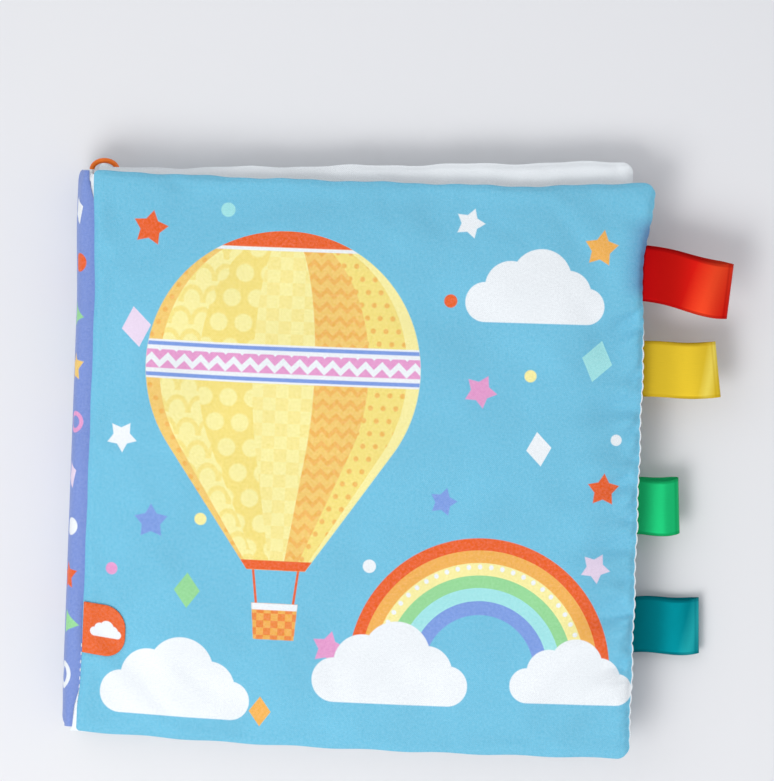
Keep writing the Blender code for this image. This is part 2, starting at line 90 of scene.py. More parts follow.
# %% Arithmetic that writes nodes
class Field:
    """A number that changes over the cloth. Sums with it add Math nodes to its tree."""

    def __init__(self, tree, socket):
        self.tree = tree
        self.socket = socket

    def math(self, operation, *others, use_clamp=False):
        inputs = dict(enumerate((self, *others)))
        node = add_node(self.tree, "ShaderNodeMath", inputs, operation=operation, use_clamp=use_clamp)
        return Field(self.tree, node.outputs[0])

    def __add__(self, other):
        return self.math("ADD", other)

    def __sub__(self, other):
        return self.math("SUBTRACT", other)

    def __mul__(self, other):
        return self.math("MULTIPLY", other)

    def __truediv__(self, other):
        return self.math("DIVIDE", other)

    def size(self):
        return self.math("ABSOLUTE")

    def least(self, other):
        return self.math("MINIMUM", other)

    def most(self, other):
        return self.math("MAXIMUM", other)

    def root(self):
        return self.math("SQRT")

    def above(self, level, blur=0.18):
        """1 where the number is over a level and 0 under it, with a narrow ramp between."""
        return (self - level).math("MULTIPLY_ADD", 0.5 / blur, 0.5, use_clamp=True)

    def below(self, level, blur=0.18):
        return (self * -1).above(level * -1, blur)


def feed(tree, slot, value):
    if isinstance(value, Field):
        tree.links.new(value.socket, slot)
    elif isinstance(value, bpy.types.NodeSocket):
        tree.links.new(value, slot)
    else:
        slot.default_value = value


def add_node(tree, kind, inputs, **settings):
    node = tree.nodes.new(kind)
    for key, value in settings.items():
        setattr(node, key, value)
    for key, value in inputs.items():
        feed(tree, node.inputs[key], value)
    return node


# %% [markdown]
# ## Shared effects
# The same few effects come back on every cloth: the weave, the slightly blotchy ink, and the simple
# motifs of the print. Each is a node group with named inputs, so a material places it like a stamp.

# %% Build node groups
def effect(name, inputs, *outputs):
    """A shader group, from its inputs with their values and its outputs; one called Colour is a colour."""
    tree = bpy.data.node_groups.new(name, "ShaderNodeTree")

    def socket(label, way):
        kind = "NodeSocketColor" if label == "Colour" else "NodeSocketFloat"
        return tree.interface.new_socket(label, in_out=way, socket_type=kind)

    for label, value in inputs.items():
        socket(label, "INPUT").default_value = value
    for label in outputs:
        socket(label, "OUTPUT")
    source = tree.nodes.new("NodeGroupInput")
    tree.nodes.new("NodeGroupOutput").name = "result"
    return tree, {label: Field(tree, source.outputs[label]) for label in inputs}


def give(tree, results):
    """Joins a group's results to its outputs."""
    for label, value in results.items():
        feed(tree, tree.nodes["result"].inputs[label], value)
    return tree


def stamp(tree, group, inputs):
    """Places a group in a tree and returns its outputs by name."""
    node = add_node(tree, "ShaderNodeGroup", inputs, node_tree=group)
    return {out.name: Field(tree, out) for out in node.outputs}


# Where a point lies on the cloth, and what else places a motif there; sizes are in millimetres
PLACE = {"Across": 0.0, "Up": 0.0}
MOTIF_INPUTS = PLACE | {"Centre across": 0.0, "Centre up": 0.0, "Size": 6.0, "Turn": 0.0}


# %% Motifs of the print
def motif_group(name, formula):
    """A motif of the print, from a formula of its own two coordinates and its size."""
    tree, given = effect(name, MOTIF_INPUTS, "Mask")
    x = given["Across"] - given["Centre across"]
    y = given["Up"] - given["Centre up"]
    cosine = given["Turn"].math("COSINE")
    sine = given["Turn"].math("SINE")
    return give(tree, {"Mask": formula(x * cosine + y * sine, y * cosine - x * sine, given["Size"])})


def centre_distance(x, y):
    """Distance from the middle."""
    return (x * x + y * y).root()


def disc(x, y, radius):
    return centre_distance(x, y).below(radius)


def star(x, y, radius):
    """Five plump points: the straight side from a tip to a notch, folded round the centre."""
    fifth = math.pi / 5
    notch = 0.56
    angle = y.math("ARCTAN2", x).math("PINGPONG", fifth)
    along = centre_distance(x, y) * angle.math("COSINE")
    side = centre_distance(x, y) * angle.math("SINE")
    rise = notch * math.sin(fifth)
    run = notch * math.cos(fifth) - 1
    length = math.hypot(rise, run)
    return ((along - radius) * (rise / length) - side * (run / length)).below(0.0)


def diamond(x, y, radius):
    """A little narrower than it is high."""
    narrowing = 1.35
    return (x.size() * narrowing + y.size()).below(radius)


def ring(x, y, radius):
    middle, half_band = 0.78, 0.2
    return (centre_distance(x, y) - radius * middle).size().below(radius * half_band)


def triangle(x, y, radius):
    """Three equal sides: the base, and two sides folded into one."""
    sine, cosine = 0.866, 0.5
    return (y * -1).most(x.size() * sine + y * cosine).below(radius * cosine)


# Puffs of a cloud: across, up and radius, as shares of its size
CLOUD_PUFFS = (
    (-1.35, -0.15, 0.55),
    (-0.65, 0.28, 0.72),
    (0.2, 0.5, 0.85),
    (0.95, 0.12, 0.66),
    (1.5, -0.2, 0.5),
)
# The bar under them: middle and half-size across, then up
CLOUD_BAR = ((0.075, 1.425), (-0.3, 0.4))


def cloud(x, y, radius):
    """Round puffs on a flat bar."""
    (middle_x, half_x), (middle_y, half_y) = CLOUD_BAR
    across = (x - radius * middle_x).size().below(radius * half_x)
    whole = across * (y - radius * middle_y).size().below(radius * half_y)
    for puff_x, puff_y, share in CLOUD_PUFFS:
        whole = whole.most(centre_distance(x - radius * puff_x, y - radius * puff_y).below(radius * share))
    return whole


MOTIFS = {
    made.__name__: motif_group(f"motif_{made.__name__}", made)
    for made in (disc, star, diamond, ring, triangle, cloud)
}
print("motifs:", ", ".join(MOTIFS))


# %% Repeating fills of the print
def fill_group(name, formula):
    """A fill that repeats: its pitch is in millimetres, and Share is how much of a cell it takes."""
    tree, given = effect(name, PLACE | {"Pitch": 5.0, "Share": 0.3}, "Mask")
    x, y = given["Across"] / given["Pitch"], given["Up"] / given["Pitch"]
    return give(tree, {"Mask": formula(x, y, given["Share"])})


# Blur of a fill's edges, as a share of a cell
FILL_BLUR = 0.03


def from_middle(x, y):
    """Distance across from the middle of a cell; every second row is moved half a cell."""
    shifted = x + y.math("FLOOR").math("MODULO", 2.0) * 0.5
    return shifted.math("FRACT") - 0.5


def dots(x, y, share):
    dot_blur = 0.04
    return centre_distance(from_middle(x, y), y.math("FRACT") - 0.5).below(share, dot_blur)


def checks(x, y, share):
    """Squares in turn; they always take half of the ground."""
    odd = x.math("FLOOR") + y.math("FLOOR")
    return (odd * 0.5).math("FRACT").above(0.25, 0.01)


def scallops(x, y, share):
    """Rows of half rounds, like roof tiles."""
    foot, flattening, radius = 0.1, 0.6, 0.46
    dx = from_middle(x, y)
    dy = y.math("FRACT") - foot
    from_foot = (dx * dx + dy * dy * flattening).root()
    return (from_foot - radius).size().below(share * 0.25, FILL_BLUR)


def stripes(x, y, share):
    return (x + y).math("FRACT").below(share, FILL_BLUR)


def zigzag(x, y, share):
    wave = x.math("PINGPONG", 0.5)
    return ((y + wave).math("FRACT") - 0.5).size().below(share * 0.5, FILL_BLUR)


FILLS = {
    made.__name__: fill_group(f"fill_{made.__name__}", made)
    for made in (dots, checks, scallops, stripes, zigzag)
}
print("fills:", ", ".join(FILLS))

# %% [markdown]
# ## Weave and worn ink
# The covers are a thin plain-woven polyester: warp and weft cross over and under each other at about
# three threads to the millimetre. Two crossed waves, with their threads bent and thickened by noise,
# give the relief and a faint change of tint. The ink lies unevenly, in patches of about a millimetre,
# and where it is thin the white threads show through and make it paler.

# %% Noise, and the two groups made with it
def noise(tree, across, up, scale, detail, roughness=0.5):
    """Noise round 0; its scale is in cycles a millimetre."""
    place = add_node(tree, "ShaderNodeCombineXYZ", {"X": across, "Y": up})
    inputs = {"Vector": place.outputs[0], "Scale": scale, "Detail": detail, "Roughness": roughness}
    return Field(tree, add_node(tree, "ShaderNodeTexNoise", inputs).outputs["Fac"]) - 0.5


def weave_group():
    """Relief and tint of plain weave; Thread is the width of a thread in millimetres."""
    tree, given = effect("plain_weave", PLACE | {"Thread": 0.36, "Wander": 0.25}, "Height", "Tint")
    across, up = given["Across"], given["Up"]
    shift = noise(tree, across, up, 0.9, 3.0) * given["Wander"]
    slubs = noise(tree, across, up, 2.6, 4.0)
    warp, weft = (((way + shift) / given["Thread"] * math.pi).math("SINE") for way in (across, up))
    over = warp * weft
    return give(tree, {"Height": over * 0.5 + slubs * 0.9 + 0.5, "Tint": over * 0.12 + slubs * 1.1})


def uneven_ink_group():
    """A colour whose ink is laid on in patches, and where that ink is thin."""
    inputs = PLACE | {"Colour": (1, 1, 1, 1), "Amount": 0.06}
    tree, given = effect("uneven_ink", inputs, "Colour", "Patches", "Thin ink")
    thin_ink = noise(tree, given["Across"], given["Up"], 0.95, 5.0, 0.72) * 1.6
    patches = thin_ink + noise(tree, given["Across"], given["Up"], 0.035, 2.0)
    value = patches * given["Amount"] * 2.0 + 1.0
    shade = add_node(tree, "ShaderNodeHueSaturation", {"Value": value, "Color": given["Colour"]})
    return give(tree, {"Colour": shade.outputs[0], "Patches": patches, "Thin ink": thin_ink})


WEAVE = weave_group()
UNEVEN_INK = uneven_ink_group()
print("weave nodes:", len(WEAVE.nodes))


# %% Start a cloth material and finish it
# How much the weave changes the tint, and how much paler the cloth is where its ink is thin
WEAVE_TINT = 0.42
THIN_INK_PALENESS = 0.22


class Print:
    """A cloth material while it is being printed: a tree, two coordinates and a colour so far."""

    def __init__(self, name, ground):
        self.material = bpy.data.materials.new(name)
        self.material.use_nodes = True
        self.tree = self.material.node_tree
        self.shader = self.tree.nodes["Principled BSDF"]
        lie = add_node(self.tree, "ShaderNodeUVMap", {}, uv_map="cloth")
        split = add_node(self.tree, "ShaderNodeSeparateXYZ", {"Vector": lie.outputs["UV"]})
        self.x = Field(self.tree, split.outputs["X"]) * 1000.0
        self.y = Field(self.tree, split.outputs["Y"]) * 1000.0
        self.colour = ground

    def paint(self, colour, mask):
        """Lays ink over the colour so far; the Mix node's colour sockets are numbers 6, 7 and 2."""
        mix = add_node(self.tree, "ShaderNodeMix", {0: mask, 6: self.colour, 7: colour}, data_type="RGBA")
        self.colour = mix.outputs[2]

    def motif(self, kind, centre, size, colour, turn=0.0):
        values = (self.x, self.y, *map(float, centre), float(size), math.radians(turn))
        self.paint(colour, stamp(self.tree, MOTIFS[kind], dict(zip(MOTIF_INPUTS, values)))["Mask"])

    def fill(self, kind, pitch, share, x=None, y=None):
        inputs = {"Across": x or self.x, "Up": y or self.y, "Pitch": pitch, "Share": share}
        return stamp(self.tree, FILLS[kind], inputs)["Mask"]

    def dye(self, value, saturation=1.0):
        """Gives the shader the colour so far, made darker or lighter and deeper or paler."""
        inputs = {"Saturation": saturation, "Value": value, "Color": self.colour}
        shade = add_node(self.tree, "ShaderNodeHueSaturation", inputs)
        feed(self.tree, self.shader.inputs["Base Color"], shade.outputs[0])

    def raise_threads(self, height, strength, distance):
        inputs = {"Height": height, "Strength": strength, "Distance": distance}
        bump = add_node(self.tree, "ShaderNodeBump", inputs)
        feed(self.tree, self.shader.inputs["Normal"], bump.outputs[0])

    def surface(self, inputs):
        for label, value in inputs.items():
            feed(self.tree, self.shader.inputs[label], value)
        return self.material

    def finish(self, roughness=0.82, thread=0.36, relief=0.0001, amount=0.08):
        """Adds the weave under the ink and joins everything to the shader."""
        place = {"Across": self.x, "Up": self.y}
        worn = stamp(self.tree, UNEVEN_INK, place | {"Colour": self.colour, "Amount": amount})
        woven = stamp(self.tree, WEAVE, place | {"Thread": thread})
        self.colour = worn["Colour"]
        self.dye(woven["Tint"] * WEAVE_TINT + 1.0, worn["Thin ink"] * -THIN_INK_PALENESS + 1.0)
        self.raise_threads(woven["Height"], 0.35, relief)
        return self.surface(
            {
                "Roughness": worn["Patches"] * 0.06 + roughness,
                "Sheen Weight": 0.12,
                "Sheen Roughness": 0.5,
                "Specular IOR Level": 0.3,
            }
        )


# %% [markdown]
# ## The front cover's print
# The sky-blue ground carries a patchwork balloon in yellows, a rainbow between two clouds and a
# scatter of stars and diamonds. Curved gores of a balloon are meridians of a ball: dividing the
# distance from the middle by the half-width at that height straightens them.

# %% Balloon
# In millimetres; heights are from the middle of its ball, which a cone continues downwards
BALLOON_CENTRE = (-30.0, 33.0)
BALLOON_RADIUS = 50.0
BALLOON_MOUTH = -72.0
BALLOON_TANGENT = math.radians(35)
ROPE_SPREAD, ROPE_LEAN, ROPE_HALF, ROPE_LENGTH = 8.2, 0.12, 0.45, 13
BASKET_HALF, BASKET_TAPER = (7.6, 6.5), 0.08
GORE_COLOURS = (SOFT_ORANGE, PALE_YELLOW, WARM_YELLOW, PALE_YELLOW, SOFT_ORANGE, WARM_YELLOW, PALE_YELLOW)
# A colour, the gores it goes on, the fill with its pitch and share, and its strength
GORE_FILLS = (
    (PALE_YELLOW, (2,), ("dots", 9.0, 0.36), 1.0),
    (WARM_YELLOW, (1,), ("scallops", 8.0, 0.35), 0.8),
    (LIGHT_ORANGE, (4,), ("zigzag", 5.0, 0.4), 0.75),
    (WARM_YELLOW, (3,), ("checks", 4.6, 0.5), 0.45),
    (LIGHT_ORANGE, (0, 5), ("dots", 4.6, 0.2), 0.8),
)


def constant_ramp(tree, share, stops):
    node = add_node(tree, "ShaderNodeValToRGB", {"Fac": share})
    node.color_ramp.interpolation = "CONSTANT"
    while len(node.color_ramp.elements) < len(stops):
        node.color_ramp.elements.new(1.0)
    for element, (place, colour) in zip(node.color_ramp.elements, stops):
        element.position = place
        element.color = colour
    return node.outputs["Color"]


def print_basket(cloth, x, y):
    """Two ropes that lean outwards, and a checked basket with a white rim."""
    from_mouth = y - BALLOON_MOUTH
    for side in (-1, 1):
        lean = x - side * ROPE_SPREAD - from_mouth * side * ROPE_LEAN
        rope = lean.size().below(ROPE_HALF) * y.below(BALLOON_MOUTH + 1)
        cloth.paint(CORAL, rope * y.above(BALLOON_MOUTH - ROPE_LENGTH))
    basket = (x.size() - BASKET_HALF[0] + (from_mouth + 22) * -BASKET_TAPER).below(0.0)
    basket = basket * (from_mouth + 18.5).size().below(BASKET_HALF[1])
    cloth.paint(LIGHT_ORANGE, basket)
    cloth.paint(CORAL, basket * cloth.fill("checks", 2.6, 0.5) * 0.6)
    cloth.paint(WHITE, basket * (from_mouth + 13.2).size().below(1.2))


def print_balloon(cloth):
    x = cloth.x - BALLOON_CENTRE[0]
    y = cloth.y - BALLOON_CENTRE[1]
    low = -BALLOON_RADIUS * math.sin(BALLOON_TANGENT)
    on_ball = (y * y * -1 + BALLOON_RADIUS**2).most(0.0).root()
    on_cone = (y - low) * math.tan(BALLOON_TANGENT) + BALLOON_RADIUS * math.cos(BALLOON_TANGENT)
    is_ball = y.above(low)
    half = on_ball * is_ball + on_cone * (is_ball * -1 + 1.0)
    body = (half - x.size()).above(0.0) * y.above(BALLOON_MOUTH) * y.below(BALLOON_RADIUS)
    print_basket(cloth, x, y)

    share = (x / half.most(1.0)).most(-1.0).least(1.0).math("ARCSINE") / math.pi + 0.5
    count = len(GORE_COLOURS)
    stops = [(n / count, colour) for n, colour in enumerate(GORE_COLOURS)]
    cloth.paint(constant_ramp(cloth.tree, share, stops), body)
    for colour, gores, fill, strength in GORE_FILLS:
        stops = [(n / count, (1, 1, 1, 1) if n in gores else (0, 0, 0, 1)) for n in range(count)]
        on_gores = Field(cloth.tree, constant_ramp(cloth.tree, share, stops))
        cloth.paint(colour, body * on_gores * cloth.fill(*fill) * strength)
    belt = (y - 2).size()
    cloth.paint(WHITE, body * belt.below(7.0))
    cloth.paint(PINK, body * belt.below(3.4) * cloth.fill("zigzag", 6.0, 0.55))
    cloth.paint(VIOLET, body * (belt - 5.6).size().below(0.7))
    cloth.paint(CORAL, body * y.above(44.0))
    cloth.paint(WHITE, body * (y - 43.4).size().below(0.6))
    cloth.paint(CORAL, body * y.below(BALLOON_MOUTH + 3.4))


# %% Rainbow
# In millimetres; each band starts so far from the centre
RAINBOW_CENTRE = (45.0, -72.0)
RAINBOW_BANDS = (
    (20.0, VIOLET), (25.0, MINT), (29.5, LEAF_GREEN),
    (34.0, PALE_YELLOW), (38.5, LIGHT_ORANGE), (43.0, CORAL),
)
RAINBOW_REACH, RAMP_REACH = 47.5, 50.0
BEAD_ROW = 41.0


def print_rainbow(cloth):
    """Bands round a centre, a row of beads on the yellow one, and a cloud at each foot."""
    x = cloth.x - RAINBOW_CENTRE[0]
    y = cloth.y - RAINBOW_CENTRE[1]
    out = centre_distance(x, y)
    stops = [(0.0, VIOLET)] + [(start / RAMP_REACH, colour) for start, colour in RAINBOW_BANDS]
    bow = out.above(RAINBOW_BANDS[0][0]) * out.below(RAINBOW_REACH) * y.above(-2.0)
    cloth.paint(constant_ramp(cloth.tree, out / RAMP_REACH, stops), bow)
    beads = cloth.fill("dots", 4.5, 0.2, y.math("ARCTAN2", x) * BEAD_ROW, out + 1.0)
    cloth.paint(WHITE, bow * beads * out.above(34.2) * out.below(38.3))
    for side, size in ((-1, 14.5), (1, 11.4)):
        cloth.motif("cloud", (RAINBOW_CENTRE[0] + side * 33.0, RAINBOW_CENTRE[1] - 3.0), size, WHITE)


# %% Scatter
# Kind, place, size, colour and turn in degrees
SCATTER = (
    ("star", (-80, 82), 6.6, CORAL, 8), ("diamond", (-84, 46), 7.4, LILAC, 10),
    ("star", (-88, 6), 5.8, WHITE, -14), ("star", (-76, -24), 6.4, VIOLET, 20),
    ("diamond", (-62, -48), 6.4, LEAF_GREEN, 0), ("star", (-10, -66), 6.2, PINK, 6),
    ("star", (36, 88), 5.6, WHITE, 0), ("star", (84, 80), 6.4, LIGHT_ORANGE, 12),
    ("diamond", (84, 40), 7.6, MINT, -12), ("star", (42, 28), 6.2, PINK, -8),
    ("diamond", (64, 8), 6.2, WHITE, 8), ("star", (88, -6), 6.0, CORAL, 16),
    ("star", (30, -12), 5.2, VIOLET, 4), ("star", (86, -34), 5.6, LILAC, -10),
    ("diamond", (-34, -90), 5.4, LIGHT_ORANGE, 0), ("disc", (-52, 90), 2.6, MINT, 0),
    ("disc", (30, 60), 2.4, CORAL, 0), ("disc", (60, 34), 2.2, PALE_YELLOW, 0),
    ("disc", (-90, -42), 2.2, PINK, 0), ("disc", (4, -36), 2.4, WHITE, 0),
    ("disc", (92, 12), 2.0, WHITE, 0), ("disc", (-58, -22), 2.2, PALE_YELLOW, 0),
)


# Painted shade beside the red ribbon, where the cloth rolls down to the seam, mixed with the ribbon's ends
# faintly showing through: middle and half-size, across and up
RIBBON_SHADOW = ink(88, 110, 166)
SHADOW_MIDDLE, SHADOW_HALF = (100.5, 76.8), (6.0, 12.0)


def front_print():
    cloth = Print("cover_front_print", SKY)
    cloth.motif("cloud", (60, 62), 13.0, WHITE)
    cloth.motif("cloud", (-66, -84), 14.0, WHITE)
    for motif in SCATTER:
        cloth.motif(*motif)
    print_rainbow(cloth)
    print_balloon(cloth)
    # Painted shade, with the ribbon's ends showing through, on the fore-edge beside the red ribbon
    from_fore = (cloth.x - SHADOW_MIDDLE[0]).size().below(SHADOW_HALF[0], SHADOW_HALF[0])
    beside_ribbon = (cloth.y - SHADOW_MIDDLE[1]).size().below(SHADOW_HALF[1], 2.6)
    cloth.paint(RIBBON_SHADOW, from_fore.math("POWER", 2.4) * beside_ribbon * 0.78)
    return cloth.finish()


FRONT_PRINT = front_print()
print("front print nodes:", len(FRONT_PRINT.node_tree.nodes))


# %% [markdown]
# ## Prints inside the book and on its back
# Each page of such a book has a white border and one bold, simple picture. One recipe prints them
# all: a rounded field, a fill over it, and a few large motifs.

# %% Page prints
FIELD_HALF, FIELD_ROUND, FILL_STRENGTH = (75.0, 79.0), 8.0, 0.45


def page_print(name, border, field, accent, fill, motifs):
    """A coloured field with a fill over it and motifs, inside a border of another colour or of none."""
    cloth = Print(name, border or field)
    mask = cloth.fill(*fill)
    if border:
        dx, dy = ((way.size() - half).most(0.0) for way, half in zip((cloth.x, cloth.y), FIELD_HALF))
        inside = centre_distance(dx, dy).below(FIELD_ROUND)
        cloth.paint(field, inside)
        mask = inside * mask
    cloth.paint(accent, mask * FILL_STRENGTH)
    for motif in motifs:
        cloth.motif(*motif)
    return cloth.finish(amount=0.04)


# Each page: its print's name, border, field, accent, fill and motifs
PAGES = {
    "front_lining": (
        "page_one_print", WHITE, PALE_YELLOW, SOFT_ORANGE, ("dots", 12.0, 0.16),
        (("disc", (0, 0), 46, WHITE), ("star", (0, 0), 38, CORAL, 90), ("disc", (0, 0), 11, PALE_YELLOW)),
    ),
    "upper_top": (
        "page_two_print", WHITE, MINT, WHITE, ("scallops", 14.0, 0.4),
        (("cloud", (-10, 34), 26, WHITE), ("diamond", (-34, -34), 22, PINK),
         ("triangle", (34, -30), 24, LIGHT_ORANGE)),
    ),
    "upper_under": (
        "page_three_print", WHITE, LILAC, WHITE, ("checks", 16.0, 0.5),
        (("ring", (0, 6), 44, VIOLET), ("disc", (0, 6), 24, PINK), ("star", (0, 6), 16, WHITE, 90)),
    ),
    "lower_top": (
        "page_four_print", WHITE, WARM_YELLOW, WHITE, ("zigzag", 14.0, 0.35),
        (("star", (-32, 30), 24, CORAL, 90), ("star", (34, 4), 20, LEAF_GREEN, 80),
         ("star", (-18, -42), 18, VIOLET, 95)),
    ),
    "lower_under": (
        "page_five_print", WHITE, LEAF_GREEN, WHITE, ("dots", 10.0, 0.22),
        (("triangle", (0, 20), 48, CORAL), ("triangle", (0, -22), 48, LIGHT_ORANGE),
         ("disc", (0, 72), 5, WHITE)),
    ),
    "back_lining": (
        "page_six_print", WHITE, SKY, WHITE, ("stripes", 20.0, 0.5),
        (("cloud", (0, -10), 34, WHITE), ("disc", (44, 50), 20, PALE_YELLOW)),
    ),
    "back_cover": (
        "cover_back_print", None, SKY, WHITE, ("dots", 26.0, 0.07),
        (("cloud", (-44, 48), 18, WHITE), ("cloud", (40, 66), 14, WHITE), ("cloud", (14, -66), 20, WHITE),
         ("star", (48, 20), 9, CORAL, 80), ("star", (-62, -16), 8, PALE_YELLOW, 96),
         ("diamond", (-8, 10), 9, PINK, 0), ("star", (-50, -74), 7, LIGHT_ORANGE, 90),
         ("diamond", (68, -28), 8, MINT, 0)),
    ),
}
PAGE_PRINTS = {page: page_print(*values) for page, values in PAGES.items()}
print("pages:", ", ".join(PAGE_PRINTS))


# %% Spine print
# Kind, how far across and up, size and colour
SPINE_MOTIFS = (
    ("diamond", 8.5, 88, 5.4, WHITE), ("disc", 10.5, 69, 3.4, CORAL), ("triangle", 8.0, 50, 5.2, LEAF_GREEN),
    ("star", 8.5, 31, 5.6, SOFT_ORANGE), ("ring", 10.5, 11, 4.0, PINK), ("diamond", 8.5, -8, 5.4, LILAC),
    ("disc", 10.5, -27, 3.2, WHITE), ("star", 9.0, -45, 5.4, CORAL), ("triangle", 10.5, -62, 5.2, LEAF_GREEN),
    ("ring", 8.0, -81, 5.2, WHITE),
)


def spine_print():
    """One column of motifs shows beside the cover, and its copy shows from the back."""
    cloth = Print("spine_print", PERIWINKLE)
    for kind, across, up, size, colour in SPINE_MOTIFS:
        cloth.motif(kind, (across, up), size, colour, 20)
        cloth.motif(kind, (across - 14.0, up - 10.0), size, colour, -15)
    return cloth.finish()


SPINE_PRINT = spine_print()
LINING_WHITE = Print("lining_cloth", WHITE).finish(amount=0.03)
print("spine print nodes:", len(SPINE_PRINT.node_tree.nodes))

# %% [markdown]
# ## Satin ribbon and tape
# Satin floats its warp over many weft threads, so it shines along one direction and shows fine ribs
# across the other. Stretched noise gives the floats, and an anisotropic gloss shines where the ribbon
# bends. A band of painted highlight is also laid on in the colour, with painted shade where the ribbon
# leaves the seam and a thin line of painted shade beside the fold. The woven edge of the ribbon is a
# little denser and darker.

# %% Satin
def satin_group():
    """The threads of satin, from the places along a ribbon and beside its middle in millimetres."""
    inputs = {"Along": 0.0, "Side": 0.0, "Half width": 9.8}
    tree, given = effect("satin_floats", inputs, "Height", "Shade", "Selvedge")
    floats = noise(tree, given["Along"] * 0.25, given["Side"] * 6.0, 1.0, 4.0)
    ribs = (given["Side"] * (math.pi / 0.22)).math("SINE")
    knots = (given["Along"] * (math.pi / 0.45)).math("SINE")
    selvedge = (given["Side"].size() - given["Half width"]).above(-0.8, 0.15)
    height = floats + ribs * 0.25 + selvedge * (knots * 0.6 + 0.5)
    return give(tree, {"Height": height, "Shade": floats * 0.5, "Selvedge": selvedge})


SATIN = satin_group()


def satin(name, colour, shade_and_selvedge, highlight, length, root, highlight_band):
    """Ribbon satin, with painted shade and a painted highlight band. root: how much shade is painted at the
    seam; the last: place, reach and share of the painted highlight.
    """
    cloth = Print(name, colour)
    woven = stamp(cloth.tree, SATIN, {"Along": cloth.x, "Side": cloth.y})
    fold = length * 1000
    from_seam = cloth.x.math("PINGPONG", fold)
    # Painted shade where the ribbon leaves the seam under the cover's edge
    cloth.paint(shade_and_selvedge, from_seam.below(fold * 0.3, fold * 0.3) * root)
    # A painted highlight band where the bent satin would catch the light
    place, half, share = highlight_band
    highlight_mask = (from_seam - cloth.y * 0.25 - fold * place).size().below(fold * half, fold * half * 0.8)
    cloth.paint(highlight, highlight_mask * share)
    # A thin line of painted shade in the crease beside the fold
    cloth.paint(shade_and_selvedge, (from_seam - fold * 0.96).size().below(0.30, 0.30) * 0.4)
    cloth.paint(shade_and_selvedge, woven["Selvedge"] * 0.35)
    cloth.dye(woven["Shade"] * 0.35 + 1.0)
    cloth.raise_threads(woven["Height"], 0.3, 0.00006)
    lengthwise = add_node(cloth.tree, "ShaderNodeTangent", {}, direction_type="UV_MAP", uv_map="cloth")
    return cloth.surface(
        {
            "Roughness": woven["Selvedge"] * 0.15 + 0.36,
            "Tangent": lengthwise.outputs[0],
            "Metallic": 0.2,
            "Anisotropic": 0.8,
            "Anisotropic Rotation": 0.25,
            "Specular IOR Level": 0.5,
            "Specular Tint": colour,
        }
    )


# Each ribbon: its colour, its painted shade colour (also used for its darker woven edge) and its painted
# highlight colour, the length of one layer, how much shade is painted at its root, and its painted highlight
# band
SATINS = {
    "red": (ink(214, 28, 20), ink(150, 4, 10), ink(240, 84, 44), 0.0310, 0.95, (0.78, 0.14, 0.65)),
    "yellow": (ink(226, 192, 50), ink(196, 158, 24), ink(248, 226, 100), 0.0334, 0.1, (0.93, 0.05, 0.8)),
    "green": (ink(30, 186, 112), ink(6, 140, 72), ink(44, 200, 128), 0.0224, 0.1, (0.55, 0.25, 0.2)),
    "teal": (ink(4, 130, 140), ink(0, 96, 108), ink(40, 176, 180), 0.0258, 0.15, (0.96, 0.09, 0.8)),
}
RIBBON_LENGTHS = {colour: values[3] for colour, values in SATINS.items()}
RIBBON_SATINS = {colour: satin(f"{colour}_ribbon_satin", *values) for colour, values in SATINS.items()}


# %% Orange tape, thread and cord
def tape_material(name, colour):
    cloth = Print(name, colour)
    cloth.motif("cloud", (0.9, -0.4), 2.9, WHITE)
    return cloth.finish(roughness=0.62, thread=0.3, relief=0.00006, amount=0.03)


def cord_material(name, colour):
    """Twill threads that run round a cord at a slant."""
    cloth = Print(name, colour)
    twist = ((cloth.x + cloth.y * 1.6) * (math.pi / 0.5)).math("SINE")
    cloth.dye(twist * 0.08 + 1.0)
    cloth.raise_threads(twist, 0.6, 0.00008)
    return cloth.surface({"Roughness": 0.6})


LABEL_TAPE = tape_material("label_tape", ink(228, 101, 46))
LOOP_CORD = cord_material("loop_cord", ink(255, 122, 14))
THREAD = cord_material("seam_thread", ink(240, 243, 245))
print("materials:", len(bpy.data.materials))

# %% [markdown]
# ## Stuffed panels
# A cover is two cloths sewn round their edge and turned, with batting and a crinkling film inside.
# The cloth swells quickly away from the seam and then lies nearly level. Close to the seam it
# puckers, because the stitches gather it. The outline here repeats the frame's own formulas, so the
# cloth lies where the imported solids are. Dents are then pressed in along short lines.

# %% Sizes of the frame, in metres
COVER_WIDTH, COVER_HEIGHT, COVER_HALF, COVER_ROUND = 0.2010, 0.2038, 0.0040, 0.0045
LEAF_WIDTH, LEAF_HEIGHT, LEAF_HALF, LEAF_ROUND = 0.1943, 0.2050, 0.0029, 0.0042
BACK_INSET, LEAF_INSET = 0.0016, 0.0012
EDGE_SWELL, SEAM_HALF = 0.0260, 0.00045
SEAM_X, HINGE_X, LEAF_LEFT = -0.1005, -0.1025, -0.0998576
BACK_Z, LOWER_Z, UPPER_Z, FRONT_Z = 0.0040, 0.0114, 0.0177, 0.0251
RED_Y, YELLOW_Y, GREEN_Y, TEAL_Y = (share * COVER_HEIGHT for share in (0.354, 0.1815, -0.064, -0.276))
LABEL_Y = -0.317 * COVER_HEIGHT
RIBBON_WIDTH = 0.0202
# How far the pull at the head's corner, at the red ribbon and at the spine's side reach into a panel
EAR_REACH, EAR_RISE_REACH, TUG_REACH, SEAM_SIDE_REACH = 0.0280, 0.0460, 0.0220, 0.0600


def smooth_step(value):
    held = np.clip(value, 0.0, 1.0)
    return held * held * (3 - 2 * held)


def swell(distance, reach=EDGE_SWELL):
    """0 at a seam and 1 past the reach, round like a quarter of an ellipse."""
    left = 1 - np.minimum(np.maximum(distance, 0.0) / reach, 1.0)
    return np.sqrt(1 - left * left)


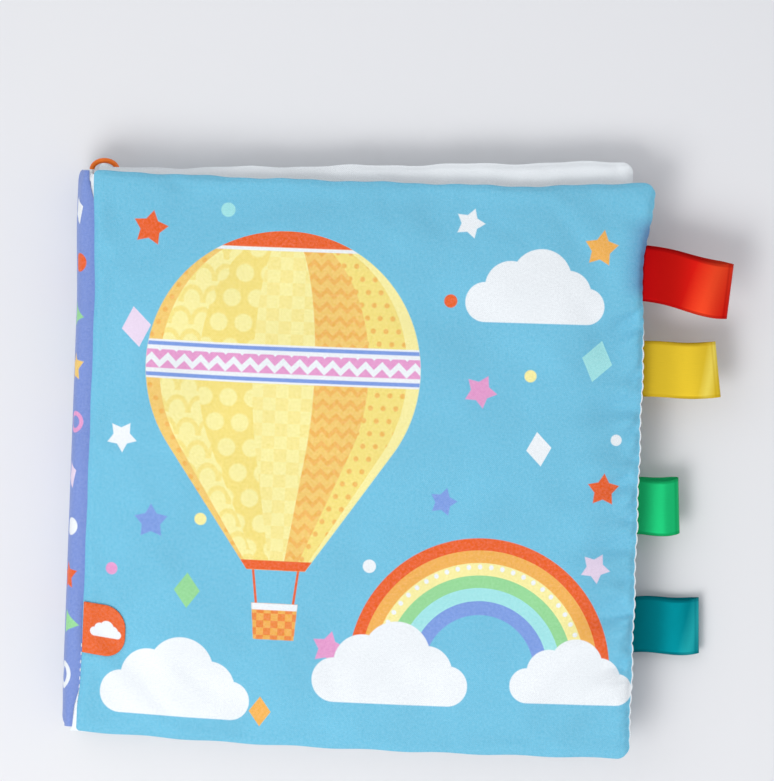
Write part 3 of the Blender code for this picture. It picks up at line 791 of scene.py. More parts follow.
# %% A stuffed panel
class Panel:
    """One stuffed panel, from its seam at the spine to the fore-edge and from foot to head."""

    draw_in = 0.0002
    crown = ear_out = ear_up = head_rise = foot_drop = foot_bow = 0.0
    seam_side_rise = tug = rise = lift = 0.0

    def __init__(self, left, width, height, z, up, down, radius, **shape):
        self.left, self.width, self.height, self.z = left, width, height, z
        self.up, self.down, self.radius = up, down, radius
        vars(self).update(shape)

    def place(self, across, along):
        """Where points of the panel lie in the frame, seen from above."""
        u = np.maximum(across, 0.0) / self.width
        v = along / self.height
        from_fore = self.width - across
        near_head = smooth_step(1 - (self.height - along) / EAR_REACH)
        ear_out = self.ear_out * near_head * smooth_step(1 - from_fore / EAR_REACH)
        ear_up = self.ear_up * near_head * smooth_step(1 - from_fore / EAR_RISE_REACH)
        from_red = np.abs(along - RED_Y - self.height / 2)
        pulled = smooth_step((TUG_REACH - from_red) / (TUG_REACH - RIBBON_WIDTH / 2))
        pulled = pulled * smooth_step(1 - from_fore / TUG_REACH)
        x = self.left + across - self.draw_in * np.sin(math.pi * v) * u + ear_out - self.tug * pulled
        bow = np.sin(math.pi * u)
        y = along - self.height / 2 - self.draw_in * bow * (2 * v - 1)
        y = y + ear_up + self.rise * u + self.lift + self.head_rise * u * v
        y = y - (self.foot_drop * u + self.foot_bow * bow) * (1 - v)
        return x, y + self.seam_side_rise * smooth_step(1 - across / SEAM_SIDE_REACH)

    def fullness(self, across, along):
        return swell(np.minimum(across, self.width - across)) * swell(np.minimum(along, self.height - along))

    def top(self, across, along):
        full = self.fullness(across, along)
        bow = np.sin(math.pi * across / self.width) * np.sin(math.pi * along / self.height)
        return self.z + SEAM_HALF + (self.up - SEAM_HALF) * full + self.crown * bow * full

    def bottom(self, across, along):
        return self.z - SEAM_HALF - (self.down - SEAM_HALF) * self.fullness(across, along)


FRONT = Panel(
    SEAM_X, COVER_WIDTH, COVER_HEIGHT, FRONT_Z, 0.0032, COVER_HALF, COVER_ROUND,
    crown=0.0008, head_rise=0.0009, ear_out=0.0026, ear_up=0.0026, foot_drop=0.0022, foot_bow=0.0014,
    tug=0.0007, seam_side_rise=0.0006,
)
BACK = Panel(
    SEAM_X, COVER_WIDTH - BACK_INSET, COVER_HEIGHT - BACK_INSET, BACK_Z, COVER_HALF, COVER_HALF, COVER_ROUND
)
UPPER = Panel(
    LEAF_LEFT, LEAF_WIDTH, LEAF_HEIGHT, UPPER_Z, LEAF_HALF, LEAF_HALF, LEAF_ROUND,
    rise=0.0097, lift=0.0008,
)
LOWER = Panel(
    LEAF_LEFT, LEAF_WIDTH - LEAF_INSET, LEAF_HEIGHT - LEAF_INSET, LOWER_Z, LEAF_HALF, LEAF_HALF, LEAF_ROUND,
    rise=0.0078, lift=0.0008,
)
print("fore-edge of the front cover:", round(float(FRONT.place(COVER_WIDTH, COVER_HEIGHT / 2)[0]), 4))


# %% Lines of the cloth grid: close together in the seams, wider in the middle
NEAR_SEAM = [0.0, 0.0005, 0.0011, 0.0018, 0.0026, 0.0035, 0.0045, 0.0056, 0.0068, 0.0081, 0.0095, 0.0110]


def cloth_lines(length, cell):
    count = max(int((length - 2 * NEAR_SEAM[-1]) / cell), 4)
    middle = np.linspace(NEAR_SEAM[-1], length - NEAR_SEAM[-1], count + 1)
    return np.concatenate([NEAR_SEAM[:-1], middle, [length - d for d in reversed(NEAR_SEAM[:-1])]])


def round_corners(across, along, width, height, radius, seam_radius=None):
    """Maps the square corners of a grid smoothly onto quarter circles, smaller ones at the spine."""
    radius = np.where(across < width / 2, seam_radius or radius, radius)
    side = np.maximum(radius - np.minimum(across, width - across), 0.0)
    end = np.maximum(radius - np.minimum(along, height - along), 0.0)
    new_side = side * np.sqrt(1 - (end / radius) ** 2 / 2)
    new_end = end * np.sqrt(1 - (side / radius) ** 2 / 2)
    across = across + np.where(across < width / 2, 1, -1) * (side - new_side)
    along = along + np.where(along < height / 2, 1, -1) * (end - new_end)
    return across, along


# %% Dents along short lines
EDGES = ("fore", "head", "foot", "spine")


def seam_puckers(rng, width, height, *edges):
    """Puckers from the edges of a panel, each edge given with its spacing, depth, reach and slant.

    A pucker is a start, a direction, a length, a half-width and a depth.
    """
    found = []
    for edge, spacing, depth, reach, slant in edges:
        length = height if edge in ("fore", "spine") else width
        s = spacing * rng.uniform(0.4, 1.2)
        while s < length - spacing * 0.4:
            lean = rng.normal(slant, 0.28)
            size = rng.uniform(0.35, 1.0)
            start, way = {
                "fore": ((width, s), (-1.0, lean)),
                "spine": ((0.0, s), (1.0, lean)),
                "head": ((s, height), (lean, -1.0)),
                "foot": ((s, 0.0), (lean, 1.0)),
            }[edge]
            run, half = reach * rng.uniform(0.5, 1.3), rng.uniform(0.0007, 0.0015)
            found.append((start, way, run, half, depth * size))
            s += spacing * rng.uniform(0.55, 1.5)
    return found


def dented(across, along, lines):
    """How far each point sinks: every line is a valley between two low banks, deepest near its start."""
    widening, bank_share, bank_place = 1.4, 0.45, 1.9
    sunk = np.zeros_like(across)
    for (a0, b0), way, length, half, depth in lines:
        way = np.array(way) / math.hypot(*way)
        p = ((across - a0) * way[0] + (along - b0) * way[1]) / length
        q = (across - a0) * -way[1] + (along - b0) * way[0]
        wide = half * (1 + widening * np.clip(p, 0, 1))
        bank = np.exp(-(((np.abs(q) - bank_place * wide) / wide) ** 2))
        profile = np.exp(-((q / wide) ** 2)) - bank_share * bank
        fade = smooth_step(p * 7) * smooth_step(1 - p) * (p > 0)
        sunk += depth * profile * fade
    return sunk


# %% [markdown]
# One builder turns two sheets of points that share an outline into a closed cushion. Between them
# runs a narrow lip, the sewn edge, where the white lining peeps out beside the printed cloth.

# %% Build a closed cushion from two grids
def rim_values(grid):
    """The values of a grid round its outline."""
    n, m = grid.shape
    return np.concatenate([grid[:, 0], grid[n - 1, 1:], grid[n - 2 :: -1, m - 1], grid[0, m - 2 : 0 : -1]])


def add_object(name, data):
    piece = bpy.data.objects.new(name, data)
    bpy.context.collection.objects.link(piece)
    return piece


def lay_flat(mesh, spread):
    """Gives every corner of a mesh the flat place of its point, in metres."""
    corner = np.zeros(len(mesh.loops), dtype=np.int32)
    mesh.loops.foreach_get("vertex_index", corner)
    layer = mesh.uv_layers.get("cloth") or mesh.uv_layers.new(name="cloth")
    layer.data.foreach_set("uv", np.asarray(spread)[corner].ravel())


# The sewn edge is three rows of points: how far each stands out, and how deep it lies
LIP_ROWS = ((0.72, 0.14), (1.0, 0.5), (0.72, 0.86))


def sewn_mesh(name, face, reverse, lip, flat, finishes):
    """face and reverse are grids of points; lip is how far the sewn edge stands out, here or everywhere."""
    n, m = face.shape[:2]
    index = np.arange(n * m).reshape(n, m)
    rim = rim_values(index)
    face, reverse, flat = face.reshape(-1, 3), reverse.reshape(-1, 3), flat.reshape(-1, 2)
    top_rim, low_rim = face[rim], reverse[rim]
    tangent = np.roll(top_rim, -1, axis=0) - np.roll(top_rim, 1, axis=0)
    outward = np.cross(tangent, (top_rim - low_rim).mean(axis=0))
    outward /= np.linalg.norm(outward, axis=1)[:, None] + 1e-12
    lip = np.broadcast_to(lip, len(rim))
    rings = [
        top_rim * (1 - mix) + low_rim * mix + outward * (lip * share)[:, None] for share, mix in LIP_ROWS
    ]
    faces, slots = [], []
    for offset, turn, slot in ((0, 1, 0), (n * m, -1, 1)):
        a, b = index[:-1, :-1] + offset, index[1:, :-1] + offset
        c, d = index[1:, 1:] + offset, index[:-1, 1:] + offset
        quads = np.stack([a, b, c, d], axis=-1).reshape(-1, 4)[:, ::turn]
        faces += quads.tolist()
        slots += [slot] * len(quads)
    rows = [rim, *(2 * n * m + np.arange(len(rim)) + k * len(rim) for k in range(3)), rim + n * m]
    for upper, lower in zip(rows, rows[1:]):
        faces += np.stack([upper, lower, np.roll(lower, -1), np.roll(upper, -1)], axis=-1).tolist()
        slots += [2] * len(rim)
    mesh = bpy.data.meshes.new(name)
    mesh.from_pydata(np.concatenate([face, reverse, *rings]).tolist(), [], faces)
    for finish in finishes:
        mesh.materials.append(finish)
    mesh.polygons.foreach_set("material_index", slots)
    lay_flat(mesh, np.concatenate([flat] * 2 + [flat[rim]] * 3))
    mesh.shade_smooth()
    piece = add_object(name, mesh)
    fix_normals(piece)
    return piece


def fix_normals(piece):
    built = bmesh.new()
    built.from_mesh(piece.data)
    if built.calc_volume(signed=True) < 0:
        bmesh.ops.reverse_faces(built, faces=built.faces[:])
    built.to_mesh(piece.data)
    built.free()


# %% Make a panel's cushion
# A corner's radius at the spine, half of a seam's thickness, and how far from it the cloth is pinched
SPINE_CORNER, SEAM_THIN, PINCH = 0.0014, 0.0002, 0.0016


def cushion(name, panel, cells, top_lines, low_lines, lip, finishes, wrinkles, shape=None):
    """A panel's cushion: its wrinkles, dents pressed in along lines, and a gathered outline."""
    lines = cloth_lines(panel.width, cells[0]), cloth_lines(panel.height, cells[1])
    a, b = np.meshgrid(*lines, indexing="ij")
    a, b = round_corners(a, b, panel.width, panel.height, panel.radius, SPINE_CORNER)
    x, y = panel.place(a, b)
    across, along, (over, under) = wrinkles
    top = panel.top(a, b) - dented(a, b, top_lines) + between(across, along, over, a, b)
    low = panel.bottom(a, b) + np.maximum(dented(a, b, low_lines) + between(across, along, under, a, b), 0.0)
    if shape:
        x, y, top = shape(panel, a, b, x, y, top)
    rim = np.minimum(np.minimum(a, panel.width - a), np.minimum(b, panel.height - b))
    pinch = smooth_step(rim / PINCH)
    highest_low, lowest_top = panel.z - SEAM_THIN, panel.z + SEAM_THIN
    top = np.maximum(lowest_top * (1 - pinch) + top * pinch, lowest_top)
    low = np.minimum(highest_low * (1 - pinch) + low * pinch, highest_low)
    flat = np.stack([a - panel.width / 2, b - panel.height / 2], axis=-1)
    lip = lip(a, b) if callable(lip) else lip
    piece = sewn_mesh(name, np.stack([x, y, top], -1), np.stack([x, y, low], -1), lip, flat, finishes)
    print(name, len(piece.data.vertices), "points")
    return piece


# %% [markdown]
# Stuffing pushes both cloths outwards while the seam holds their edge, and the spare cloth has to go
# somewhere: it wrinkles. A cloth simulation shows where. Each panel is sewn as a coarse closed bag,
# cut larger than its seam, and blown up for 20 frames with its seam held. Batting keeps the real
# panel thin, so the broad swelling is taken away again and only the wrinkles are kept. A remesh at
# this size would close up the narrow seam, so the bag keeps its own even grid.

# %% Let the stuffing push
SIM_CELL, SIM_FRAMES = 0.0032, 20
CUT_LARGER = 0.012


def held_bag(panel, across, along, seed):
    """A panel's coarse closed bag as a mesh, with the numbers of its points on the two sides."""
    a, b = np.meshgrid(across, along, indexing="ij")
    inner = (a > 0) & (a < panel.width) & (b > 0) & (b < panel.height)
    top = np.where(inner, panel.top(a, b), panel.z)
    index = np.arange(a.size).reshape(a.shape)
    under = index.copy()
    under[inner] = a.size + np.arange(inner.sum())
    upper_points = np.stack([a, b, top], -1).reshape(-1, 3)
    points = np.concatenate([upper_points, np.stack([a, b, panel.bottom(a, b)], -1)[inner]])
    faces = []
    for grid, turn in ((index, 1), (under, -1)):
        corners = np.stack([grid[:-1, :-1], grid[1:, :-1], grid[1:, 1:], grid[:-1, 1:]], -1)
        faces += corners.reshape(-1, 4)[:, ::turn].tolist()
    first = np.random.default_rng(seed).integers(0, 4, a.size * 2)
    mesh = bpy.data.meshes.new("stuffed")
    mesh.from_pydata(points.tolist(), [], [face[n:] + face[:n] for face, n in zip(faces, first)])
    return mesh, points, (index, under), index[~inner].tolist()


def stuffed(panel, share, cap, seed):
    """The wrinkles that a panel's bag gets while it is blown up; share and cap keep them small."""
    across = np.linspace(0, panel.width, int(panel.width / SIM_CELL))
    along = np.linspace(0, panel.height, int(panel.height / SIM_CELL))
    mesh, points, sides, seam = held_bag(panel, across, along, seed)
    piece = add_object("stuffed", mesh)
    piece.vertex_groups.new(name="seam").add(seam, 1.0, "REPLACE")
    cloth = piece.modifiers.new("cloth", "CLOTH")
    cloth.settings.quality = 5
    cloth.settings.bending_stiffness = 0.1
    cloth.settings.use_pressure = True
    cloth.settings.uniform_pressure_force = 0.6
    cloth.settings.shrink_min = -CUT_LARGER
    cloth.settings.vertex_group_mass = "seam"
    cloth.settings.effector_weights.gravity = 0
    cloth.collision_settings.use_collision = False
    cloth.point_cache.frame_start, cloth.point_cache.frame_end = 1, SIM_FRAMES
    for frame_number in range(1, SIM_FRAMES + 1):
        bpy.context.scene.frame_set(frame_number)
    made = piece.evaluated_get(bpy.context.evaluated_depsgraph_get()).data
    moved = np.zeros(len(points) * 3, dtype=np.float32)
    made.vertices.foreach_get("co", moved)
    moved = moved.reshape(-1, 3)[:, 2] - points[:, 2]
    bpy.data.objects.remove(piece, do_unlink=True)
    bpy.context.scene.frame_set(1)
    kept = [cap * np.tanh(share * (moved[side] - blurred(moved[side], 3)) / cap) for side in sides]
    print("wrinkles of", round(float(np.abs(kept).max()) * 1000, 2), "mm at most")
    return across, along, np.array(kept)


def blurred(grid, reach):
    """A soft average over a few cells."""
    weights = np.exp(-0.5 * (np.arange(-3 * reach, 3 * reach + 1) / reach) ** 2)
    weights /= weights.sum()
    for axis in (0, 1):
        padded = np.pad(grid, [(3 * reach,) * 2 if n == axis else (0, 0) for n in (0, 1)], mode="edge")
        grid = np.apply_along_axis(np.convolve, axis, padded, weights, mode="valid")
    return grid


def brush(t):
    """Steps to three neighbouring cells, and their shares in a soft brush."""
    return (-1, (0.5 - t) ** 2 / 2), (0, 0.75 - t * t), (1, (0.5 + t) ** 2 / 2)


def between(across, along, values, a, b):
    """Values of a coarse grid, read at any point with a soft brush three cells wide."""
    u, v = a / across[1], b / along[1]
    i = np.clip(np.rint(u).astype(int), 1, len(across) - 2)
    j = np.clip(np.rint(v).astype(int), 1, len(along) - 2)
    result = np.zeros_like(a)
    for step_i, share_i in brush(np.clip(u - i, -0.5, 0.5)):
        for step_j, share_j in brush(np.clip(v - j, -0.5, 0.5)):
            result += share_i * share_j * values[i + step_i, j + step_j]
    return result


# %% [markdown]
# ## Front cover
# The picture side. Its fore-edge is the most gathered: the seam is drawn in at every few stitches, a
# short pucker runs inwards and down from each notch, the cloth rolls over the red ribbon's ends, and
# soft folds run in from the edge. Near the head and the foot of the spine, white hinge tape shows.

# %% Dents of the front cover
rng = np.random.default_rng(7)
wide, high = COVER_WIDTH, COVER_HEIGHT
# A dent from every notch of the gathered seam, puckers from each edge, and soft folds
NOTCHES = np.cumsum(rng.uniform(0.0034, 0.0052, 50)) - 0.003
front_dents = []
for spot in NOTCHES[(NOTCHES > 0.004) & (NOTCHES < high - 0.004)]:
    lean, size = rng.normal(-0.85, 0.3), rng.uniform(0.25, 1.0)
    half = rng.uniform(0.0006, 0.0010)
    front_dents.append(((wide + 0.0006, spot), (-1.0, lean), 0.0045 + 0.0075 * size, half, 0.0015 * size))
front_dents += seam_puckers(
    rng, wide, high,
    ("fore", 0.0170, 0.00130, 0.0180, -0.7), ("head", 0.0105, 0.00030, 0.0075, 0.2),
    ("foot", 0.0110, 0.00028, 0.0075, -0.2), ("spine", 0.0120, 0.00026, 0.0070, 0.1),
)
for along, lean, length, half, depth in (
    (0.101, -0.32, 0.036, 0.0026, 0.00250), (0.078, -0.25, 0.034, 0.0024, 0.00210),
    (0.056, -0.34, 0.040, 0.0030, 0.00290), (0.034, -0.20, 0.030, 0.0026, 0.00200),
    (0.128, -0.25, 0.034, 0.0026, 0.00210), (0.160, -0.75, 0.036, 0.0030, 0.00220),
    (0.171, -0.10, 0.026, 0.0030, 0.00170), (0.188, 0.10, 0.026, 0.0034, 0.00130),
):
    front_dents.append(((wide, along), (-1.0, lean), length, half, depth))
front_dents += [
    ((0.004, 0.196), (0.5, -1.0), 0.040, 0.0036, 0.00050),
    ((0.0, 0.150), (1.0, -0.6), 0.030, 0.0040, 0.00040),
    ((0.030, 0.204), (0.2, -1.0), 0.036, 0.0040, 0.00040),
    ((0.120, 0.204), (0.1, -1.0), 0.030, 0.0044, 0.00040),
    ((0.060, 0.0), (0.25, 1.0), 0.028, 0.0036, 0.00035),
]
# Ripples: limits of where each lies, how far it reaches, and how high or low it is
RIPPLE_LIMITS = ((0.02, 0.18), (0.02, 0.18), (0.012, 0.03), (-1, 1))
RIPPLES = [[rng.uniform(*limits) for limits in RIPPLE_LIMITS] for _ in range(26)]


# %% Outline of the front cover
def cover_rim(y):
    """Where the cover's cloth starts beside the spine: it laps over at the head and stands back below."""
    at_head = 0.0018 * smooth_step((y - 0.052) / 0.052)
    at_foot = 0.00105 * smooth_step((-0.083 - y) / 0.0115)
    return -0.0995 - at_head - at_foot + 0.0001 * np.sin(y / 0.0041)


def seam_puffs(b):
    """Along the gathered fore-edge: 0 in each notch, and 1 on the puff between two of them."""
    k = np.clip(np.searchsorted(NOTCHES, b) - 1, 0, len(NOTCHES) - 2)
    share = (b - NOTCHES[k]) / (NOTCHES[k + 1] - NOTCHES[k])
    return np.abs(np.sin(math.pi * share)) ** 0.7


def wave(run, length, start=0.0):
    return np.sin(run * 2 * math.pi / length + start)


def fading(distance, reach):
    return np.exp(-distance / reach)


# Height of the ripples, rise and reach of the roll over the ribbon, and how deep the head sinks
RIPPLE_HEIGHT, ROLL_RISE, ROLL_REACH, HEAD_SINK = 0.00030, 0.0033, 0.0090, 0.0008


def front_shape(panel, a, b, x, y, top):
    """Soft rises and hollows, a full roll over the ribbon's ends, and the outline of the gathered seam."""
    full = panel.fullness(a, b)
    for centre_a, centre_b, reach, size in RIPPLES:
        squared_distance = (a - centre_a) ** 2 + (b - centre_b) ** 2
        top = top + RIPPLE_HEIGHT * size * full * np.exp(-squared_distance / reach**2)
    from_fore = panel.width - a
    at_ribbon = smooth_step((0.021 - np.abs(b - RED_Y - 0.002 - panel.height / 2)) / 0.011)
    at_ribbon = at_ribbon * smooth_step(1 - (from_fore - 0.008) / 0.012)
    roll = panel.z + SEAM_HALF + ROLL_RISE * swell(from_fore, ROLL_REACH)
    top = top * (1 - at_ribbon) + roll * at_ribbon
    top = top - HEAD_SINK * smooth_step((b - 0.165) / 0.040) * full
    x = x + 0.00042 * (seam_puffs(b) - 0.6) * fading(from_fore, 0.0025)
    x = x + 0.00016 * wave(b, 0.0263, 0.7) * fading(from_fore, 0.006)
    y = y + 0.00022 * (wave(a, 0.033, 0.5) + 0.6 * wave(a, 0.0127)) * fading(panel.height - b, 0.005)
    y = y + 0.00022 * wave(a, 0.027, 2.0) * fading(b, 0.005)
    x = x + (cover_rim(b - panel.height / 2) - SEAM_X) * fading(a, 0.010)
    return x, y, top


def front_lip(a, b):
    """The lining stands out on the fore-edge below the red ribbon, and hardly anywhere else."""
    along = rim_values(b)
    on_fore = smooth_step((rim_values(a) - (COVER_WIDTH - 0.002)) / 0.0015)
    low = smooth_step((0.158 - along) / 0.012) * smooth_step((along - 0.002) / 0.006)
    return 0.00003 + 0.00050 * on_fore * low * (0.45 + 0.55 * seam_puffs(along))


# %% Sew the front cover
FRONT_WRINKLES = stuffed(FRONT, 0.9, 0.0010, 1)
front_cover = cushion(
    "front_cover", FRONT, (0.0016, 0.0008), front_dents, [], front_lip,
    (FRONT_PRINT, PAGE_PRINTS["front_lining"], LINING_WHITE), FRONT_WRINKLES, front_shape,
)
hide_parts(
    "front_cover_face_fabric", "front_cover_lining_fabric",
    "front_cover_batting", "front_cover_crinkle_film",
)
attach(front_cover, "front_cover")

# %% [markdown]
# ## Back cover
# The same cushion, a little smaller, lying on the floor: its printed side faces down and is flat
# where it rests.

# %% Back cover cushion
THIN_LIP = 0.00025
back_dents = seam_puckers(
    rng, BACK.width, BACK.height,
    *((edge, 0.0085, 0.00065, 0.0085, slant) for edge, slant in zip(EDGES, (0.3, 0.0, 0.0, 0.1))),
)
back_cover = cushion(
    "back_cover", BACK, (0.0022, 0.0016), back_dents, back_dents, THIN_LIP,
    (PAGE_PRINTS["back_lining"], PAGE_PRINTS["back_cover"], LINING_WHITE), stuffed(BACK, 0.4, 0.0003, 2),
)
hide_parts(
    "back_cover_lining_fabric", "back_cover_face_fabric",
    "back_cover_batting", "back_cover_crinkle_film",
)
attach(back_cover, "back_cover")

# %% [markdown]
# ## Inner leaves
# Two thinner cushions between the covers. They fan a little, so the upper leaf's white border
# shows along the head of the closed book.

# %% Leaf cushions
def leaf_shape(panel, a, b, x, y, top):
    """A wavy head, and a puff of spare cloth at its end beside the spine."""
    from_head = panel.height - b
    y = y + 0.0018 * np.exp(-(((a - 0.0016) / 0.0019) ** 2) - from_head / 0.006)
    y = y + 0.00035 * (wave(a, 0.041) + 0.5 * wave(a, 0.0173)) * fading(from_head, 0.006)
    return x, y, top


for name, panel, top_print, low_print in (
    ("upper_leaf", UPPER, "upper_top", "upper_under"),
    ("lower_leaf", LOWER, "lower_top", "lower_under"),
):
    edges = ((edge, 0.0085, 0.00060, 0.0085, 0.2) for edge in EDGES)
    dents = seam_puckers(rng, panel.width, panel.height, *edges)
    leaf = cushion(
        name, panel, (0.0026, 0.0018), dents, dents, THIN_LIP,
        (PAGE_PRINTS[top_print], PAGE_PRINTS[low_print], LINING_WHITE), stuffed(panel, 0.4, 0.0003, 3),
        leaf_shape,
    )
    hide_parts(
        f"{name}_front_fabric", f"{name}_back_fabric", f"{name}_batting", f"{name}_crinkle_film"
    )
    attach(leaf, name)

# %% [markdown]
# ## Spine
# A padded strip of periwinkle cloth that bulges away from the pages. It is the same kind of cushion
# turned on its side: its two sheets are the rounded outside and the flat lining.

# %% Spine cushion
SPINE_LOW, SPINE_HIGH = BACK_Z + 0.00075, FRONT_Z - 0.00075
SPINE_INNER_X = HINGE_X + SEAM_HALF
SPINE_HALF_LENGTH = COVER_HEIGHT / 2 - 0.0004
SPINE_RISE, SPINE_BULGE, SPINE_CELL, SPINE_END_ROUND = 0.0014, 0.0038, 0.0018, 0.0042
# The print's width over the bulge, and how much fuller than a half ellipse the bulge is
PRINT_PER_SPINE, SPINE_FULLNESS = 0.026, 0.8


def spine_bulge(y):
    """The spine is fullest near its head and flattest at its foot."""
    at_head, at_foot = smooth_step((y - 0.052) / 0.036), smooth_step((-0.082 - y) / 0.012)
    return SPINE_BULGE + 0.0011 * at_head - 0.0002 * at_foot


def spine_cushion():
    height, length = SPINE_HIGH - SPINE_LOW, 2 * SPINE_HALF_LENGTH
    share = (1 - np.cos(np.linspace(0, math.pi, 27))) / 2
    a, b = np.meshgrid(share * height, cloth_lines(length, SPINE_CELL), indexing="ij")
    a, b = round_corners(a, b, height, length, SPINE_END_ROUND)
    y = b - SPINE_HALF_LENGTH + SPINE_RISE
    bulge = np.sqrt(np.maximum(1 - (2 * a / height - 1) ** 2, 0.0))
    depth = spine_bulge(y) * (0.72 + 0.28 * swell(np.minimum(b, length - b), 0.0045))
    lines = seam_puckers(
        rng, height, length,
        ("fore", 0.0110, 0.00045, 0.0085, 0.1), ("spine", 0.0120, 0.00040, 0.0085, -0.1),
    )
    out = 0.0004 + depth * bulge**SPINE_FULLNESS - dented(a, b, lines) * bulge
    y = y + 0.0014 * bulge**2 * smooth_step(1 - b / 0.006)
    z = SPINE_LOW + a
    outside = np.stack([SPINE_INNER_X - out, y, z], -1)
    inside = np.stack([np.full_like(a, SPINE_INNER_X), y, z], -1)
    flat = np.stack([(a / height - 0.5) * PRINT_PER_SPINE, y], -1)
    return sewn_mesh("spine", outside, inside, 0.0001, flat, (SPINE_PRINT, LINING_WHITE, LINING_WHITE))


spine = spine_cushion()
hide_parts("spine_outer_fabric", "spine_lining", "spine_padding")
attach(spine, "spine")
print("spine points:", len(spine.data.vertices))

# %% [markdown]
# ## Hinge tapes
# Where a panel folds against the spine, only a doubled strip of white cloth joins them. Each strip
# is swept along the book from a short path seen from its end.

# %% Sweep a strip along the book
STRIP_LIP, STRIP_STATIONS = 0.00008, 90


def bent(start, bend, end, t):
    """A smooth curve that leaves its start towards the bend and reaches its end from there."""
    return start * (1 - t) ** 2 + bend * 2 * t * (1 - t) + end * t**2


def run_along(path):
    """How far each point of a path is from its start, along the path."""
    return np.concatenate([[0.0], np.cumsum(np.linalg.norm(np.diff(path, axis=0), axis=1))])


def side_of(path):
    """The direction square to a flat path at each of its points."""
    step = np.gradient(path, axis=0)
    normal = np.stack([-step[:, 1], step[:, 0]], -1)
    return normal / np.linalg.norm(normal, axis=1)[:, None]


def strip(name, path, half_length, thickness):
    """path holds (x, z) points; the strip runs along Y and is closed all round."""
    path = np.array(path)
    stations = np.linspace(-half_length, half_length, STRIP_STATIONS)
    wobble = 0.00008 * np.sin(stations / 0.0019) + 0.00006 * np.sin(stations / 0.0047)
    sheets = []
    for side in (0.5, -0.5):
        section = path + side_of(path) * thickness * side
        x, y = np.meshgrid(section[:, 0], stations, indexing="ij")
        z = np.repeat(section[:, 1:], len(stations), axis=1)
        sheets.append(np.stack([x + wobble, y, z + wobble * 0.5], -1))
    flat = np.stack(np.meshgrid(run_along(path), stations, indexing="ij"), -1)
    return sewn_mesh(name, *sheets, STRIP_LIP, flat, (LINING_WHITE,) * 3)


def turn_path(start, end, bend):
    """A smooth path from start to end that leaves along Z and arrives along X."""
    return [bent(np.array(start), np.array(bend), np.array(end), t) for t in np.linspace(0, 1, 9)]


# %% Cloth over the spine's upper edge
def spine_top():
    """The spine's printed cloth runs on over its upper edge to the cover's seam."""
    length = 2 * SPINE_HALF_LENGTH - 0.0008
    t, b = np.meshgrid(np.linspace(0, 1, 17), cloth_lines(length, SPINE_CELL), indexing="ij")
    y = b - length / 2 + SPINE_RISE
    share, thickness = 0.80, 0.0004
    bulge = math.sqrt(1 - (2 * share - 1) ** 2) ** SPINE_FULLNESS
    end = smooth_step(np.minimum(b, length - b) / 0.006)
    start_x = SPINE_INNER_X - 0.0005 - spine_bulge(y) * bulge * (0.8 + 0.2 * end)
    start_z = SPINE_LOW + share * (SPINE_HIGH - SPINE_LOW)
    stop_x = cover_rim(y) + 0.0005
    stop_x = stop_x - 0.0022 * smooth_step((y - 0.0885) / 0.012) - 0.0019 * smooth_step((-0.078 - y) / 0.019)
    width = 0.004
    lines = seam_puckers(rng, width, length, ("fore", 0.0085, 0.00040, 0.0045, 0.2))
    top_z = FRONT_Z + 0.0016 - dented(np.full_like(b, width) * t, b, lines)
    x = bent(start_x, start_x + 0.0009, stop_x, t)
    z = bent(start_z, top_z, FRONT_Z + 0.0001, t) - 0.0008 * (1 - end) * t
    ahead_x, ahead_z = np.gradient(x, axis=0), np.gradient(z, axis=0)
    steep = np.hypot(ahead_x, ahead_z)
    inner_x, inner_z = x + ahead_z / steep * thickness, z - ahead_x / steep * thickness
    run = np.cumsum(steep, axis=0) - steep[:1]
    flat = np.stack([(share - 0.5) * PRINT_PER_SPINE + run, y], -1)
    sheets = np.stack([x, y, z], -1), np.stack([inner_x, y, inner_z], -1)
    return sewn_mesh("spine_top_cloth", *sheets, STRIP_LIP, flat, (SPINE_PRINT, LINING_WHITE, SPINE_PRINT))


# %% Sew the tapes
top_cloth = spine_top()
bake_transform(top_cloth)
TAPE_START_X, TAPE_END_X, TAPE_THICKNESS = -0.10252, -0.09960, 0.0005
LEAF_TAPE_START_X, LEAF_TAPE_STEP, LEAF_TAPE_THICKNESS = -0.10215, 0.0004, 0.0006
# Half the length of each tape along the spine
FRONT_TAPE_HALF, BACK_TAPE_HALF, LEAF_TAPE_HALF = 0.1012, 0.0996, 0.0990
front_end, front_bend = (TAPE_END_X, FRONT_Z - 0.0004), (TAPE_START_X, FRONT_Z - 0.0003)
front_path = turn_path((TAPE_START_X, 0.0229), front_end, front_bend)
front_tape = strip("front_hinge_tape", front_path, FRONT_TAPE_HALF, TAPE_THICKNESS)
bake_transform(front_tape)
back_path = turn_path((TAPE_START_X, 0.0062), (TAPE_END_X, BACK_Z), (TAPE_START_X, BACK_Z - 0.0001))
back_tape = strip("back_hinge_tape", back_path, BACK_TAPE_HALF, TAPE_THICKNESS)
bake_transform(back_tape)
for name, level in (("upper_leaf", UPPER_Z), ("lower_leaf", LOWER_Z)):
    path = [(LEAF_TAPE_START_X + LEAF_TAPE_STEP * k, level) for k in range(8)]
    tape = strip(f"{name}_hinge_tape", path, LEAF_TAPE_HALF, LEAF_TAPE_THICKNESS)
    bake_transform(tape)
print("tapes: 4")

# %% [markdown]
# ## Ribbon loops
# Each loop is one length of satin ribbon folded in half, with its ends sewn into a seam. The path of
# the ribbon is drawn once, out along the upper layer, round the fold and back along the lower one,
# and then given its width and its thickness.

# %% Fold a ribbon
RIBBON_HALF_THICKNESS, RIBBON_LIP = 0.00014, 0.00004
ROOT_GAP, SEWN_IN, CUPPED = 0.00012, 0.0008, 0.00022


